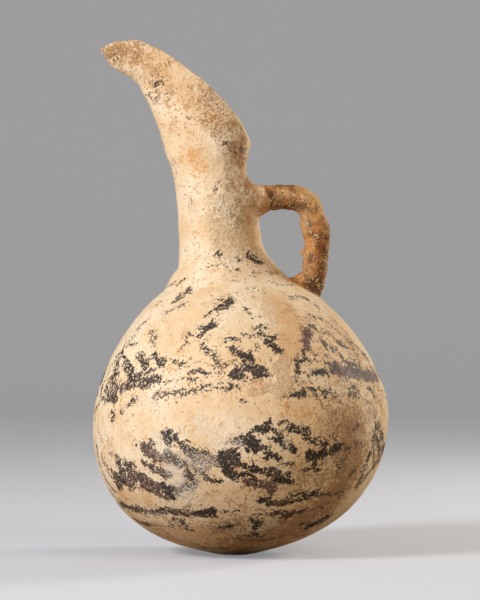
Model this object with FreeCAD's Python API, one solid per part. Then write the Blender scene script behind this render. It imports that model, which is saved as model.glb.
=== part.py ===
# A beak-spouted jug of fired clay, built up by hand, as its maker put it together.
#
# A thick round pad forms the bottom. Three courses of clay wall stand on it: the bowl, the belly
# and the shoulder. A tall neck passes through a hole in the shoulder, with a fillet of soft clay
# smeared round its foot. A long spout is added on the neck, drawn forward and cut obliquely, so
# that its mouth opens to the back and its front runs out into a beak. A round handle is plugged
# into the neck and the shoulder, and each of its ends is packed round with a fillet of clay.
#
# Millimetres. +Z is up, +X is the handle's side and -X the beak's side. The origin is the centre
# of the small flat spot that the jug stands on. The jug is the same on both sides of the XZ plane.

import FreeCAD, Part
import math
import os

from FreeCAD import Vector

# Round body
GIRTH_RADIUS = 73.4
GIRTH_HEIGHT = 66.0
FLAT_CUT = 1.0               # how much of the round form's bottom is missing under the flat spot
SHOULDER_RISE = 78.5         # girth up to the point where the shoulder would close
LOWER_FULLNESS = 2.1         # 2 is an ellipse, and more is squarer
UPPER_FULLNESS = 1.8
BOTTOM_SHARE = 0.4           # the flat spot is this share narrower than the round form there,
TAPER_HEIGHT = 6.0           # and this sets how quickly that fades upwards
BODY_SWAY = 3.6              # how far the middle of the body stands towards the handle
SWAY_SKEW = 1.3              # above 1, the sway is strongest above the body's mid-height
CROWN_ANGLE = 170.0          # turn of the outline at which the round forms stop, inside the neck
WALL = 5.5
PAD_THICKNESS = 10.0
FLOOR_DIP = 0.3              # the flat middle of the floor inside lies this high in its round form
SHOULDER_WALL = 5.0

# Where one course of the wall ends and the next begins
PAD_RADIUS = 26.0
BOWL_TOP = 30.0
BELLY_TOP = 79.0
PAD_SLOPE = 1.6              # rise of each joint for a step of one towards the axis
COURSE_SLOPE = 0.6

# Neck and spout
NECK_RADIUS = 20.5
NECK_OFFSET = 7.0            # how far the neck's middle line stands towards the beak
NECK_WALL = 5.0
RIM_WALL = 3.6
SIDE_SHARE = 0.85            # the side walls are this share of the front and back walls
SPOUT_RISE = 190.4           # girth up to the top of the rim
SPOUT_JOINT = 126.0          # girth up to the joint of neck and spout
SPOUT_SLOPE = 0.35

# Handle
ROLL_RADIUS = 6.1
ROLL_SWELL = 0.8             # extra radius just past the bend
SWELL_SHARE = 0.58           # share of the handle's length
SPREAD_SHARE = 0.13
TENON_RADIUS = 4.2
TENON_OVERLAP = 1.0          # how far a plug reaches back into the roll
ROOT_HEIGHT = 112.2          # girth up to the handle's upper end
STRAIGHT = 18.0              # from the neck's outer side to the start of the bend
BEND_RADIUS = 13.0
BEND_TURN = 82.0
DROP_RADIUS = 80.0
DROP_TURN = 26.0

# Clay fillets
ROOT_FILLET_RADIUS = 11.0
ROOT_FILLET_REACH = 9.5
ROOT_FILLET_LEAN = 2.2       # its foot lies this far below the handle's middle line
FOOT_FILLET_RADIUS = 10.5
FOOT_FILLET_REACH = 8.5
FOOT_FILLET_LEAN = 3.2       # its foot lies this far towards the neck
FILLET_SINK = 2.0            # how deep the fillets' feet lie under the surface
COLLAR_BACK = 13.5           # how far the collar's foot stands out from the neck at the handle's side
COLLAR_HEIGHT = 19.0
COLLAR_POWER = 1.6           # above 1, that side is hollow
COLLAR_FRONT = 9.0           # at the beak's side it starts lower, at a crisp corner, and tends to this
COLLAR_CORNER = 5.2          # height of that corner above the foot
COLLAR_FALL = 8.0            # height in which it comes most of the way out
COLLAR_DEPTH = 6.0           # how far its form reaches under the shoulder before it is cut
COLLAR_EDGE = 0.7
FILLET_EDGE = 0.6
FLARE_RISE_SHARE = 0.30      # a flare's hollow side passes this share of its reach,
FLARE_FALL_SHARE = 0.62      # at this share of its narrowing

# Worked out from the sizes above
BOTTOM_DEPTH = GIRTH_HEIGHT + FLAT_CUT  # girth down to the round form's lowest point
NECK_MIDDLE = -NECK_OFFSET
ROOT_SHARE = ROOT_HEIGHT / SPOUT_RISE
ROOT_INSIDE = 3.0 * NECK_WALL  # how far the handle's middle line starts inside the neck
FOOT_INSIDE = 3.0 * SHOULDER_WALL  # and how far it runs on past the last bend

FAR = 400.0                  # longer than any piece
OUT = "parts"


def blend(x, y, t):
    """The value a share t of the way from x to y."""
    return x + (y - x) * t


def body_radius(z, radius, depth, rise):
    """Half-width of a rounded body at a height: one superellipse below the girth, one above, and a
    narrower bottom."""
    below = z < GIRTH_HEIGHT
    power = LOWER_FULLNESS if below else UPPER_FULLNESS
    share = abs(z - GIRTH_HEIGHT) / (depth if below else rise)
    taper = 1.0 - BOTTOM_SHARE * math.exp(-z / TAPER_HEIGHT)
    return radius * taper * (1.0 - min(share, 1.0) ** power) ** (1.0 / power)


def body_centre(z):
    """X of the body's middle at a height: it sways towards the handle and back."""
    share = min(max(z / (GIRTH_HEIGHT + SHOULDER_RISE), 0.0), 1.0)
    return BODY_SWAY * math.sin(math.pi * share ** SWAY_SKEW)


def ring(z, radius):
    """A level circle of the body's form."""
    circle = Part.Circle(Vector(body_centre(z), 0, z), Vector(0, 0, 1), radius)
    return Part.Wire(circle.toShape())


def round_form(radius, depth, rise, low_angle):
    """A closed solid of the body's form, lofted through level circles at even turns of its outline."""
    rings = []
    steps = 11
    for n in range(steps):
        turn = math.radians(blend(low_angle, 90.0, n / (steps - 1)))
        z = GIRTH_HEIGHT - depth * math.cos(turn) ** (2.0 / LOWER_FULLNESS)
        rings.append(ring(z, body_radius(z, radius, depth, rise)))
    for n in range(1, steps):
        turn = math.radians(blend(90.0, CROWN_ANGLE, n / (steps - 1)))
        z = GIRTH_HEIGHT + rise * abs(math.cos(turn)) ** (2.0 / UPPER_FULLNESS)
        rings.append(ring(z, body_radius(z, radius, depth, rise)))
    return Part.makeLoft(rings, True)


def low_angle(drop, depth):
    """The turn of the outline, from straight down, at which it lies a drop below the girth."""
    return math.degrees(math.acos((drop / depth) ** (LOWER_FULLNESS / 2.0)))


def outer_form():
    """The body's outside, cut flat at the ground."""
    return round_form(GIRTH_RADIUS, BOTTOM_DEPTH, SHOULDER_RISE, low_angle(GIRTH_HEIGHT, BOTTOM_DEPTH))


def cavity_form():
    """The space inside the body."""
    depth = GIRTH_HEIGHT - PAD_THICKNESS
    return round_form(GIRTH_RADIUS - WALL, depth, SHOULDER_RISE - SHOULDER_WALL,
                      low_angle(depth - FLOOR_DIP, depth))


def shoulder_height(x):
    """Height of the outer surface of the shoulder, in the plane of symmetry, at an X."""
    low, high = GIRTH_HEIGHT, GIRTH_HEIGHT + SHOULDER_RISE
    side = 1.0 if x > body_centre(high) else -1.0
    for _ in range(40):
        middle = (low + high) / 2.0
        edge = body_centre(middle) + side * body_radius(middle, GIRTH_RADIUS, BOTTOM_DEPTH,
                                                        SHOULDER_RISE)
        if side * (edge - x) > 0:
            low = middle
        else:
            high = middle
    return low


def below_joint(height, radius, bevel, centre=0.0):
    """All space under a bevelled joint, a cone that passes through a radius at a height."""
    points = [Vector(0, 0, -FAR), Vector(FAR, 0, -FAR),
              Vector(FAR, 0, height + bevel * (radius - FAR)),
              Vector(0, 0, height + bevel * radius)]
    face = Part.Face(Part.makePolygon(points + points[:1]))
    cone = face.revolve(Vector(0, 0, 0), Vector(0, 0, 1), 360)
    cone.translate(Vector(centre, 0, 0))
    return cone


# The neck and spout in level sections, from inside the body up past the beak: height above the
# girth as a share of SPOUT_RISE; how far the front and the back stand from the neck's middle line,
# and half the width, as shares of NECK_RADIUS; and how much narrower the front half is.
SECTIONS = [
    (0.315, -1.01, 1.05, 1.04, 0.00),
    (0.420, -1.01, 1.04, 1.02, 0.00),
    (0.509, -1.02, 0.98, 1.00, 0.00),
    (0.588, -1.07, 0.82, 0.96, 0.00),
    (0.657, -1.17, 0.66, 0.91, 0.00),
    (0.699, -1.33, 0.70, 0.91, 0.02),
    (0.741, -1.43, 0.76, 0.88, 0.06),
    (0.804, -1.64, 0.73, 0.77, 0.12),
    (0.861, -1.89, 0.49, 0.64, 0.16),
    (0.898, -2.13, 0.22, 0.56, 0.18),
    (0.924, -2.55, -0.05, 0.49, 0.20),
    (0.951, -2.78, -0.39, 0.42, 0.20),
    (0.982, -2.94, -0.83, 0.35, 0.20),
    (1.035, -3.07, -1.37, 0.27, 0.20),
]
LEVELS = 28                  # level rings that the neck and spout are lofted through
RING_POINTS = 24

# The line of the rim seen from the side: X from the neck's middle line, and height above the girth,
# as shares of NECK_RADIUS and SPOUT_RISE
RIM_LINE = [
    (-2.95, 0.979),
    (-2.71, 0.992),
    (-2.32, 1.000),
    (-1.78, 0.992),
    (-0.88, 0.929),
    (0.05, 0.846),
    (0.56, 0.775),
    (0.80, 0.730),
]


def level_section(z, front, back, half_width, pinch):
    """A level egg-shaped ring, narrower in front by the pinch, as a smooth closed curve."""
    middle, reach = (front + back) / 2.0, (back - front) / 2.0
    points = []
    for n in range(RING_POINTS):
        turn = 2.0 * math.pi * n / RING_POINTS
        x = middle + reach * math.cos(turn)
        y = half_width * math.sin(turn) * (1.0 + pinch * math.cos(turn))
        points.append(Vector(NECK_MIDDLE + x, y, z))
    curve = Part.BSplineCurve()
    curve.interpolate(Points=points, PeriodicFlag=True, Parameters=list(range(RING_POINTS + 1)))
    return Part.Wire(curve.toShape())


def smooth_section(share):
    """Front, back, half-width and pinch at any height: between two rows of SECTIONS, the slope
    lines through them are blended."""
    slopes = []
    for n in range(len(SECTIONS)):
        low, high = SECTIONS[max(n - 1, 0)], SECTIONS[min(n + 1, len(SECTIONS) - 1)]
        slopes.append([(b - a) / (high[0] - low[0]) for a, b in zip(low[1:], high[1:])])
    n = max(i for i in range(len(SECTIONS) - 1) if i == 0 or SECTIONS[i][0] <= share)
    low, high = SECTIONS[n], SECTIONS[n + 1]
    gap = high[0] - low[0]
    t = (share - low[0]) / gap
    values = []
    for a, b, from_slope, to_slope in zip(low[1:], high[1:], slopes[n], slopes[n + 1]):
        leave = a + from_slope * gap * t
        arrive = b - to_slope * gap * (1.0 - t)
        values.append(blend(leave, arrive, t * t * (3.0 - 2.0 * t)))
    return values


def neck_section(share, wall_share):
    """One section of the neck and spout, drawn in by a share of the wall's thickness there."""
    front, back, half_width, pinch = smooth_section(share)
    wall = blend(NECK_WALL, RIM_WALL, min(max(share - ROOT_SHARE, 0.0) / (1.0 - ROOT_SHARE), 1.0))
    inset = wall * wall_share
    return level_section(GIRTH_HEIGHT + share * SPOUT_RISE,
                         front * NECK_RADIUS + inset, back * NECK_RADIUS - inset,
                         half_width * NECK_RADIUS - inset * SIDE_SHARE, pinch)


def neck_form(wall_share=0.0):
    """The neck and spout as one closed horn, before the mouth is cut."""
    low, high = SECTIONS[0][0], SECTIONS[-1][0]
    shares = [blend(low, high, n / (LEVELS - 1)) for n in range(LEVELS)]
    return Part.makeLoft([neck_section(share, wall_share) for share in shares], True)


def collar_form():
    """Clay smeared round the neck's foot, before the body and the neck are cut out of it: level
    circles that reach as far out as its back and its front do. Its back closes in on the neck as it
    rises, quickly at first and then slowly, and its front comes out below a corner."""
    foot = shoulder_height(NECK_MIDDLE + NECK_RADIUS + COLLAR_BACK)
    lowest = -COLLAR_DEPTH / COLLAR_HEIGHT
    rings = []
    steps = 14
    for n in range(steps):
        rise = blend(lowest, 1.0, n / (steps - 1))
        z = foot + rise * COLLAR_HEIGHT
        front, back, half_width, _ = smooth_section((z - GIRTH_HEIGHT) / SPOUT_RISE)
        inner = max((back - front) / 2.0, half_width) * NECK_RADIUS + COLLAR_EDGE
        back_out = (COLLAR_BACK - COLLAR_EDGE) * (1.0 - rise) ** COLLAR_POWER
        under_corner = max(foot + COLLAR_CORNER - z, 0.0)
        front_out = COLLAR_FRONT * (1.0 - math.exp(-under_corner / COLLAR_FALL))
        radius = inner + (back_out + front_out) / 2.0
        centre = NECK_MIDDLE + (front + back) / 2.0 * NECK_RADIUS + (back_out - front_out) / 2.0
        rings.append(Part.Wire(Part.Circle(Vector(centre, 0, z), Vector(0, 0, 1), radius).toShape()))
    return Part.makeLoft(rings, True)


def neck_back(rise):
    """X of the neck's outer back side at a height above the girth."""
    return NECK_MIDDLE + smooth_section(rise / SPOUT_RISE)[1] * NECK_RADIUS


def above_rim():
    """All that the potter's knife takes off: the space behind and above the rim's line."""
    points = [Vector(NECK_MIDDLE + x * NECK_RADIUS, -FAR / 2, GIRTH_HEIGHT + z * SPOUT_RISE)
              for x, z in RIM_LINE]
    curve = Part.BSplineCurve()
    curve.interpolate(Points=points)
    first, last = points[0], points[-1]
    beyond = [last + Vector(FAR, 0, 0), last + Vector(FAR, 0, FAR),
              first + Vector(-FAR, 0, FAR), first + Vector(-FAR, 0, 0)]
    edges = [curve.toShape()]
    chain = [last] + beyond + [first]
    edges += [Part.LineSegment(a, b).toShape() for a, b in zip(chain, chain[1:])]
    return Part.Face(Part.Wire(edges)).extrude(Vector(0, FAR, 0))


def handle_route():
    """The handle's middle line: a straight root, a tight bend, a long gentle curve down to the
    shoulder and a straight end in it. Gives where it starts, inside the neck, and each stretch's
    length, radius (None where it is straight) and turn in degrees."""
    z = GIRTH_HEIGHT + ROOT_HEIGHT
    start = Vector(neck_back(ROOT_HEIGHT) - ROOT_INSIDE, 0, z)
    straight = ROOT_INSIDE + STRAIGHT
    return start, [(straight, None, 0.0),
                   (BEND_RADIUS * math.radians(BEND_TURN), BEND_RADIUS, BEND_TURN),
                   (DROP_RADIUS * math.radians(DROP_TURN), DROP_RADIUS, DROP_TURN),
                   (FOOT_INSIDE, None, 0.0)]


def handle_point(way):
    """Point and heading, in degrees from +X, at a way along the handle's middle line."""
    point, stretches = handle_route()
    heading = 0.0
    for length, radius, turn in stretches:
        step = min(way, length)
        if radius is None:
            point = point + along(heading) * step
        else:
            centre = point + along(heading - 90.0) * radius
            heading_there = heading - turn * step / length
            point = centre + along(heading_there + 90.0) * radius
            heading = heading_there
        way -= step
        if way <= 1e-9:
            break
    return point, heading


def along(heading):
    """The unit vector of a heading in the plane of symmetry."""
    angle = math.radians(heading)
    return Vector(math.cos(angle), 0, math.sin(angle))


def handle_length():
    return sum(length for length, _, _ in handle_route()[1])


def roll_form():
    """The round roll of clay, a little thicker at the bend."""
    whole = handle_length()
    rings = []
    steps = 15
    for n in range(steps):
        way = whole * n / (steps - 1)
        point, heading = handle_point(way)
        share = way / whole
        radius = ROLL_RADIUS + ROLL_SWELL * math.exp(-((share - SWELL_SHARE) / SPREAD_SHARE) ** 2)
        rings.append(Part.Wire(Part.Circle(point, along(heading), radius).toShape()))
    return Part.makeLoft(rings, True)


def tenon(way_from, way_to):
    """A round plug along a straight end of the handle's middle line."""
    point, heading = handle_point(way_from)
    other, _ = handle_point(way_to)
    return Part.makeCylinder(TENON_RADIUS, (other - point).Length, point, other - point)


def flare(point, direction, side, lean, foot_radius, foot_back, reach):
    """A trumpet of clay from a point on a surface to its reach along the roll: wide at its foot,
    with a hollow side, and a small step at its tip. Its foot lies under the surface, and leans to
    one side of the roll."""
    base = point - direction * FILLET_SINK + side * lean
    axis = point + direction * reach - base
    length = axis.Length
    foot = (0.0, foot_radius)
    tip = (length, ROLL_RADIUS + FILLET_EDGE)
    mid = (length * FLARE_RISE_SHARE, blend(foot[1], tip[1], FLARE_FALL_SHARE))
    to_point = lambda pair: Vector(pair[1], 0, pair[0])
    arc = Part.Arc(to_point(foot), to_point(mid), to_point(tip)).toShape()
    corners = [to_point(tip), Vector(0, 0, length), Vector(0, 0, -foot_back),
               Vector(foot_radius, 0, -foot_back), to_point(foot)]
    edges = [arc] + [Part.LineSegment(a, b).toShape() for a, b in zip(corners, corners[1:])]
    solid = Part.Face(Part.Wire(edges)).revolve(Vector(0, 0, 0), Vector(0, 0, 1), 360)
    turn = FreeCAD.Rotation(Vector(0, 0, 1), axis)
    solid.Placement = FreeCAD.Placement(base, turn)
    return solid


def handle_foot():
    """Way along the handle's middle line at which it meets the shoulder."""
    low, high = handle_length() * 0.5, handle_length()
    for _ in range(40):
        middle = (low + high) / 2.0
        point, _ = handle_point(middle)
        if point.z > shoulder_height(point.x):
            low = middle
        else:
            high = middle
    return low


def save(name, shape):
    """One file per piece, which has to be one closed solid."""
    if len(shape.Solids) != 1:
        largest = max(shape.Solids, key=lambda s: s.Volume)
        loose = [round(s.Volume, 3) for s in shape.Solids if not s.isSame(largest)]
        raise ValueError(name + " came out in several solids, the small ones of " + str(loose))
    solid = shape.Solids[0]
    if not solid.isValid():
        raise ValueError(name + " isn't a valid solid")
    solid.exportStep(os.path.join(OUT, name + ".step"))
    print(name, "volume", round(solid.Volume / 1000.0, 2), "cm3")


def main():
    os.makedirs(OUT, exist_ok=True)
    outer = outer_form()
    cavity = cavity_form()
    horn = neck_form()
    bore = neck_form(1.0)
    rim_cut = above_rim()

    # Body: one shell, cut into its courses at bevelled joints
    shell = outer.cut(cavity).cut(horn)
    under_pad = below_joint(0.0, PAD_RADIUS, PAD_SLOPE)
    under_bowl = below_joint(BOWL_TOP, GIRTH_RADIUS - WALL, COURSE_SLOPE)
    under_belly = below_joint(BELLY_TOP, GIRTH_RADIUS - WALL / 2, COURSE_SLOPE)
    pad = shell.common(under_pad).common(under_bowl)
    bowl = shell.common(under_bowl).cut(under_pad)
    belly = shell.common(under_belly).cut(under_bowl)
    shoulder = shell.cut(under_belly)

    # Neck and spout: a tube with its foot flush inside the shoulder, and the cut mouth
    under_spout = below_joint(GIRTH_HEIGHT + SPOUT_JOINT, NECK_RADIUS, SPOUT_SLOPE,
                              NECK_MIDDLE)
    tube = horn.cut(bore)
    neck = tube.common(under_spout).cut(cavity)
    spout = tube.cut(under_spout).cut(rim_cut)

    # Collar round the neck's foot
    smeared = collar_form()
    collar = smeared.cut(outer).cut(horn)

    # Handle: the roll, and a plug through each wall
    roll = roll_form()
    whole = handle_length()
    root_tenon = tenon(0.0, ROOT_INSIDE + TENON_OVERLAP)
    foot_tenon = tenon(handle_foot() - TENON_OVERLAP, whole)
    plugs = root_tenon.fuse(foot_tenon).cut(bore).cut(cavity)
    handle = roll.cut(horn).cut(outer).fuse(plugs)
    neck = neck.cut(root_tenon)
    shoulder = shoulder.cut(foot_tenon)

    # Fillets of clay round both ends of the handle
    root_at = Vector(neck_back(ROOT_HEIGHT), 0, GIRTH_HEIGHT + ROOT_HEIGHT)
    root_form = flare(root_at, Vector(1, 0, 0), Vector(0, 0, -1), ROOT_FILLET_LEAN,
                      ROOT_FILLET_RADIUS, 2.0 * NECK_WALL, ROOT_FILLET_REACH)
    root_fillet = root_form.cut(horn).cut(roll)
    foot_at, heading = handle_point(handle_foot())
    foot_form = flare(foot_at, along(heading) * -1.0, along(heading - 90.0), FOOT_FILLET_LEAN,
                      FOOT_FILLET_RADIUS, 2.0 * SHOULDER_WALL, FOOT_FILLET_REACH)
    foot_fillet = foot_form.cut(outer).cut(roll).cut(smeared)

    save("base_pad", pad)
    save("lower_bowl", bowl)
    save("belly_course", belly)
    save("shoulder_course", shoulder)
    save("neck", neck)
    save("neck_collar", collar)
    save("beak_spout", spout)
    save("handle", handle)
    save("handle_root_fillet", root_fillet)
    save("handle_foot_fillet", foot_fillet)


main()
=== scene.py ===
# %% [markdown]
# # A beak-spouted jug, dressed
#
# The jug's solids are already at their true size. This scene replaces each of them with a finer mesh
# of the same shape that has the unevenness of hand-built clay, and paints it: dark brown strokes on a
# cream slip, worn and flaked, over an orange clay. Everything is in the jug's own frame, in which
# +Z is up, +X is the handle's side and -Y is the side that the camera sees. The numbers below are
# millimetres, and the meshes are made in metres.

import bpy
import numpy as np
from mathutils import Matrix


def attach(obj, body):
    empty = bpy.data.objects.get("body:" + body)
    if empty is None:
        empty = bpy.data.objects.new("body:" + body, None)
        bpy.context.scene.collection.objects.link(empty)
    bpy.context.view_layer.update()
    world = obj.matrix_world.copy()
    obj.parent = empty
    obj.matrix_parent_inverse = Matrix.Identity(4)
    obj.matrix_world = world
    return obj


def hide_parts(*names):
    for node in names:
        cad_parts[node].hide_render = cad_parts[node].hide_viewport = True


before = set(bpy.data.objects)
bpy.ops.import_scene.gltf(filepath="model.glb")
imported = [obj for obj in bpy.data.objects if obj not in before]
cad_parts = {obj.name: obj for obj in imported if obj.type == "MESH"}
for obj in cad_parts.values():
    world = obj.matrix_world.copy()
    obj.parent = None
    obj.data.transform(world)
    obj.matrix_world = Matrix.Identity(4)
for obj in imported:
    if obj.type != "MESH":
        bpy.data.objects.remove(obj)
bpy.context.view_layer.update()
MM = 0.001

# %% [markdown]
# ## The camera first
#
# The strokes are given as points of the picture, so the camera comes before the paint. It
# looks level along +Y with a long lens. At its distance the picture shows 300 mm of height in the
# plane of symmetry, which is 2 picture points to a millimetre.

# %%
PICTURE = (480, 600)         # width and height of the picture, in points
POINTS_PER_MM = 2.0
EYE = np.array([3.0, -1400.0, 126.75])
SENSOR = 36.0
LENS = SENSOR * -EYE[1] / (PICTURE[1] / POINTS_PER_MM)

camera = bpy.data.objects.new("Camera", bpy.data.cameras.new("Camera"))
camera.data.sensor_width = SENSOR
camera.data.lens = LENS
camera.location = EYE * MM
camera.rotation_euler = (np.pi / 2, 0, 0)
bpy.context.scene.collection.objects.link(camera)
bpy.context.scene.camera = camera
print("lens", LENS)

# %% [markdown]
# ## The form of the body
#
# The outline of the body is one superellipse below the girth and another above it. With the turn t
# measured from straight down: height = girth -+ reach |cos t|^(2/p), radius = R |sin t|^(2/p), with
# its own power p below and above. Near the ground it is drawn in, and the middle of the body sways a
# little towards the handle.

# %%
GIRTH_RADIUS = 73.4
GIRTH_HEIGHT = 66.0
BOTTOM_DEPTH = 67.0
SHOULDER_RISE = 78.5
LOWER_FULLNESS = 2.1
UPPER_FULLNESS = 1.8
BODY_SWAY = 3.6
SWAY_SKEW = 1.3
CROWN_TURN = 170.0
CROWN_HEIGHT = 144.0
WALL = 5.5
PAD_THICKNESS = 10.0
FLOOR_DIP = 0.3
SHOULDER_WALL = 5.0
BOTTOM_SHARE = 0.4
TAPER_HEIGHT = 6.0
COLUMNS = 560
TURNS = np.linspace(0, 2 * np.pi, COLUMNS, endpoint=False)


def body_centre(z):
    """X of the body's middle: sway * sin(pi * share ^ skew)."""
    share = np.clip(z / (GIRTH_HEIGHT + SHOULDER_RISE), 0, 1)
    return BODY_SWAY * np.sin(np.pi * share ** SWAY_SKEW)


def taper(z):
    """How much the form is drawn in near the ground: 1 - share exp(-z / height)."""
    return 1 - BOTTOM_SHARE * np.exp(-np.clip(z, 0, None) / TAPER_HEIGHT)


def body_radius(z, radius=GIRTH_RADIUS, depth=BOTTOM_DEPTH, rise=SHOULDER_RISE):
    """Radius at a height: taper R (1 - share^p)^(1/p)."""
    power = np.where(z < GIRTH_HEIGHT, LOWER_FULLNESS, UPPER_FULLNESS)
    share = np.abs(z - GIRTH_HEIGHT) / np.where(z < GIRTH_HEIGHT, depth, rise)
    return radius * taper(z) * (1 - np.clip(share, 0, 1) ** power) ** (1 / power)


def bisect(low, high, level, steps=40):
    """For each column, the value between low and high where the level stops being positive."""
    low, high = np.array(low, float), np.array(high, float)
    for _ in range(steps):
        middle = (low + high) / 2
        positive = level(middle) > 0
        low, high = np.where(positive, middle, low), np.where(positive, high, middle)
    return low


def lines(low, high, spacing):
    """Rows of values from low to high, both one per column, as evenly spaced rows of a grid."""
    count = int(np.max(np.abs(high - low)) / spacing) + 2
    return low + (high - low) * np.linspace(0, 1, count)[:, None]


class Outline:
    """The outside or the inside of the body's wall, followed by the way along its outline."""

    def __init__(self, radius, depth, rise, lowest):
        first = np.arccos(((GIRTH_HEIGHT - lowest) / depth) ** (LOWER_FULLNESS / 2))
        turn = np.linspace(first, np.radians(CROWN_TURN), 3000)
        below = turn < np.pi / 2
        power = np.where(below, LOWER_FULLNESS, UPPER_FULLNESS)
        side = np.abs(np.cos(turn))
        self.z = GIRTH_HEIGHT + np.where(below, -depth, rise) * side ** (2 / power)
        self.r = radius * taper(self.z) * (1 - side ** 2) ** (1 / power)
        self.way = np.append(0, np.cumsum(np.hypot(np.diff(self.z), np.diff(self.r))))
        self.up = np.gradient(self.z, self.way)
        self.out = np.gradient(self.r, self.way)

    def at(self, way):
        """Points and outward normals. Normal = (up cos a, up sin a, -out), from the outline's slope."""
        z, r, up, out = (np.interp(way, self.way, v) for v in (self.z, self.r, self.up, self.out))
        cos, sin = np.cos(TURNS), np.sin(TURNS)
        points = np.stack([body_centre(z) + r * cos, r * sin, z], axis=-1)
        return points, np.stack([up * cos, up * sin, -out], axis=-1)

    def meet(self, level):
        """For each column, the way at which a level over points stops being positive."""
        ends = np.zeros(COLUMNS), np.full(COLUMNS, self.way[-1])
        return bisect(*ends, lambda way: level(self.at(way)[0]))


outside = Outline(GIRTH_RADIUS, BOTTOM_DEPTH, SHOULDER_RISE, 0.0)
cavity_depth = GIRTH_HEIGHT - PAD_THICKNESS
inside = Outline(GIRTH_RADIUS - WALL, cavity_depth, SHOULDER_RISE - SHOULDER_WALL,
                 PAD_THICKNESS + FLOOR_DIP)
print("outline of", round(outside.way[-1], 1), "mm")

# %% [markdown]
# ## The form of the neck and spout
#
# Level egg-shaped sections, given at fourteen heights. Between two of them, the slope lines through
# each are blended with t^2 (3 - 2t). Each point of a section is x = middle + reach cos(turn),
# y = half width sin(turn) (1 + pinch cos(turn)). The rim is a line across the horn seen from the side.

# %%
NECK_RADIUS = 20.5
NECK_MIDDLE = -7.0
NECK_WALL = 5.0
RIM_WALL = 3.6
SIDE_SHARE = 0.85
SPOUT_RISE = 190.4
ROOT_SHARE = 112.2 / SPOUT_RISE
SECTIONS = np.array([
    # share of the rise, front, back, half width, pinch
    (0.315, -1.01, 1.05, 1.04, 0.00),
    (0.420, -1.01, 1.04, 1.02, 0.00),
    (0.509, -1.02, 0.98, 1.00, 0.00),
    (0.588, -1.07, 0.82, 0.96, 0.00),
    (0.657, -1.17, 0.66, 0.91, 0.00),
    (0.699, -1.33, 0.70, 0.91, 0.02),
    (0.741, -1.43, 0.76, 0.88, 0.06),
    (0.804, -1.64, 0.73, 0.77, 0.12),
    (0.861, -1.89, 0.49, 0.64, 0.16),
    (0.898, -2.13, 0.22, 0.56, 0.18),
    (0.924, -2.55, -0.05, 0.49, 0.20),
    (0.951, -2.78, -0.39, 0.42, 0.20),
    (0.982, -2.94, -0.83, 0.35, 0.20),
    (1.035, -3.07, -1.37, 0.27, 0.20),
])
RIM_LINE = np.array([(-2.95, 0.979), (-2.71, 0.992), (-2.32, 1.000), (-1.78, 0.992),
                     (-0.88, 0.929), (0.05, 0.846), (0.56, 0.775), (0.80, 0.730)])


def smooth_rows(where, rows):
    """Values between rows of (place, values...): slope lines through neighbours, blended."""
    place, values = rows[:, 0], rows[:, 1:]
    low, high = np.maximum(np.arange(len(rows)) - 1, 0), np.minimum(np.arange(len(rows)) + 1, len(rows) - 1)
    slope = (values[high] - values[low]) / (place[high] - place[low])[:, None]
    n = np.clip(np.searchsorted(place, where, side="right") - 1, 0, len(rows) - 2)
    gap = place[n + 1] - place[n]
    t = ((where - place[n]) / gap)[..., None]
    gap = gap[..., None]
    leave = values[n] + slope[n] * gap * t
    arrive = values[n + 1] - slope[n + 1] * gap * (1 - t)
    return leave + (arrive - leave) * t ** 2 * (3 - 2 * t)


def neck_size(z, inset=0.0):
    """Middle and reach along X, half width along Y and pinch at a height, drawn in by a share of
    the wall's thickness."""
    share = np.clip((z - GIRTH_HEIGHT) / SPOUT_RISE, SECTIONS[0, 0], SECTIONS[-1, 0])
    front, back, half, pinch = np.moveaxis(smooth_rows(share, SECTIONS), -1, 0)
    wall = NECK_WALL + (RIM_WALL - NECK_WALL) * np.clip((share - ROOT_SHARE) / (1 - ROOT_SHARE), 0, 1)
    reach = (back - front) / 2 * NECK_RADIUS - wall * inset
    half = half * NECK_RADIUS - wall * inset * SIDE_SHARE
    return NECK_MIDDLE + (front + back) / 2 * NECK_RADIUS, reach, half, pinch


NECK_COLUMNS = 288
NECK_TURNS = np.linspace(0, 2 * np.pi, NECK_COLUMNS, endpoint=False)


def horn(z, inset=0.0):
    """Points and level outward normals of the neck and spout at heights, one column per turn."""
    middle, reach, half, pinch = neck_size(z, inset)
    cos, sin = np.cos(NECK_TURNS), np.sin(NECK_TURNS)
    points = np.stack([middle + reach * cos, half * sin * (1 + pinch * cos), z], axis=-1)
    normals = np.stack([cos / reach, sin / half, 0 * z], axis=-1)
    return points, normals / np.linalg.norm(normals, axis=-1, keepdims=True)


def horn_meet(low, high, level, inset=0.0):
    """For each column of the horn, the height at which a level over points stops being positive."""
    ends = np.full(NECK_COLUMNS, low), np.full(NECK_COLUMNS, high)
    return bisect(*ends, lambda z: level(horn(z, inset)[0]))


rim_points = RIM_LINE * (NECK_RADIUS, SPOUT_RISE) + (NECK_MIDDLE, GIRTH_HEIGHT)
RIM_X = np.linspace(rim_points[0, 0], rim_points[-1, 0], 400)
RIM_Z = smooth_rows(RIM_X, rim_points)[:, 0]


def rim_height(x):
    return np.interp(x, RIM_X, RIM_Z)


print("rim from", RIM_Z.min().round(1), "to", RIM_Z.max().round(1))

# %% [markdown]
# ## The form of the handle
#
# One roll of clay along straight runs and arcs in the plane of symmetry: it leaves the neck level,
# turns down in a tight bend, and runs in a long gentle curve to the shoulder.

# %%
ROLL_RADIUS = 6.1
ROLL_SWELL = 0.8
SWELL_SHARE = 0.58
SPREAD_SHARE = 0.13
TENON_RADIUS = 4.2
ROOT_HEIGHT = 112.2
ROOT_INSIDE = 15.0
FOOT_INSIDE = 15.0
STRAIGHT = 18.0
BEND_RADIUS, BEND_TURN = 13.0, 82.0
DROP_RADIUS, DROP_TURN = 80.0, 26.0
FOOT_SEARCH = 50.0


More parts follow.
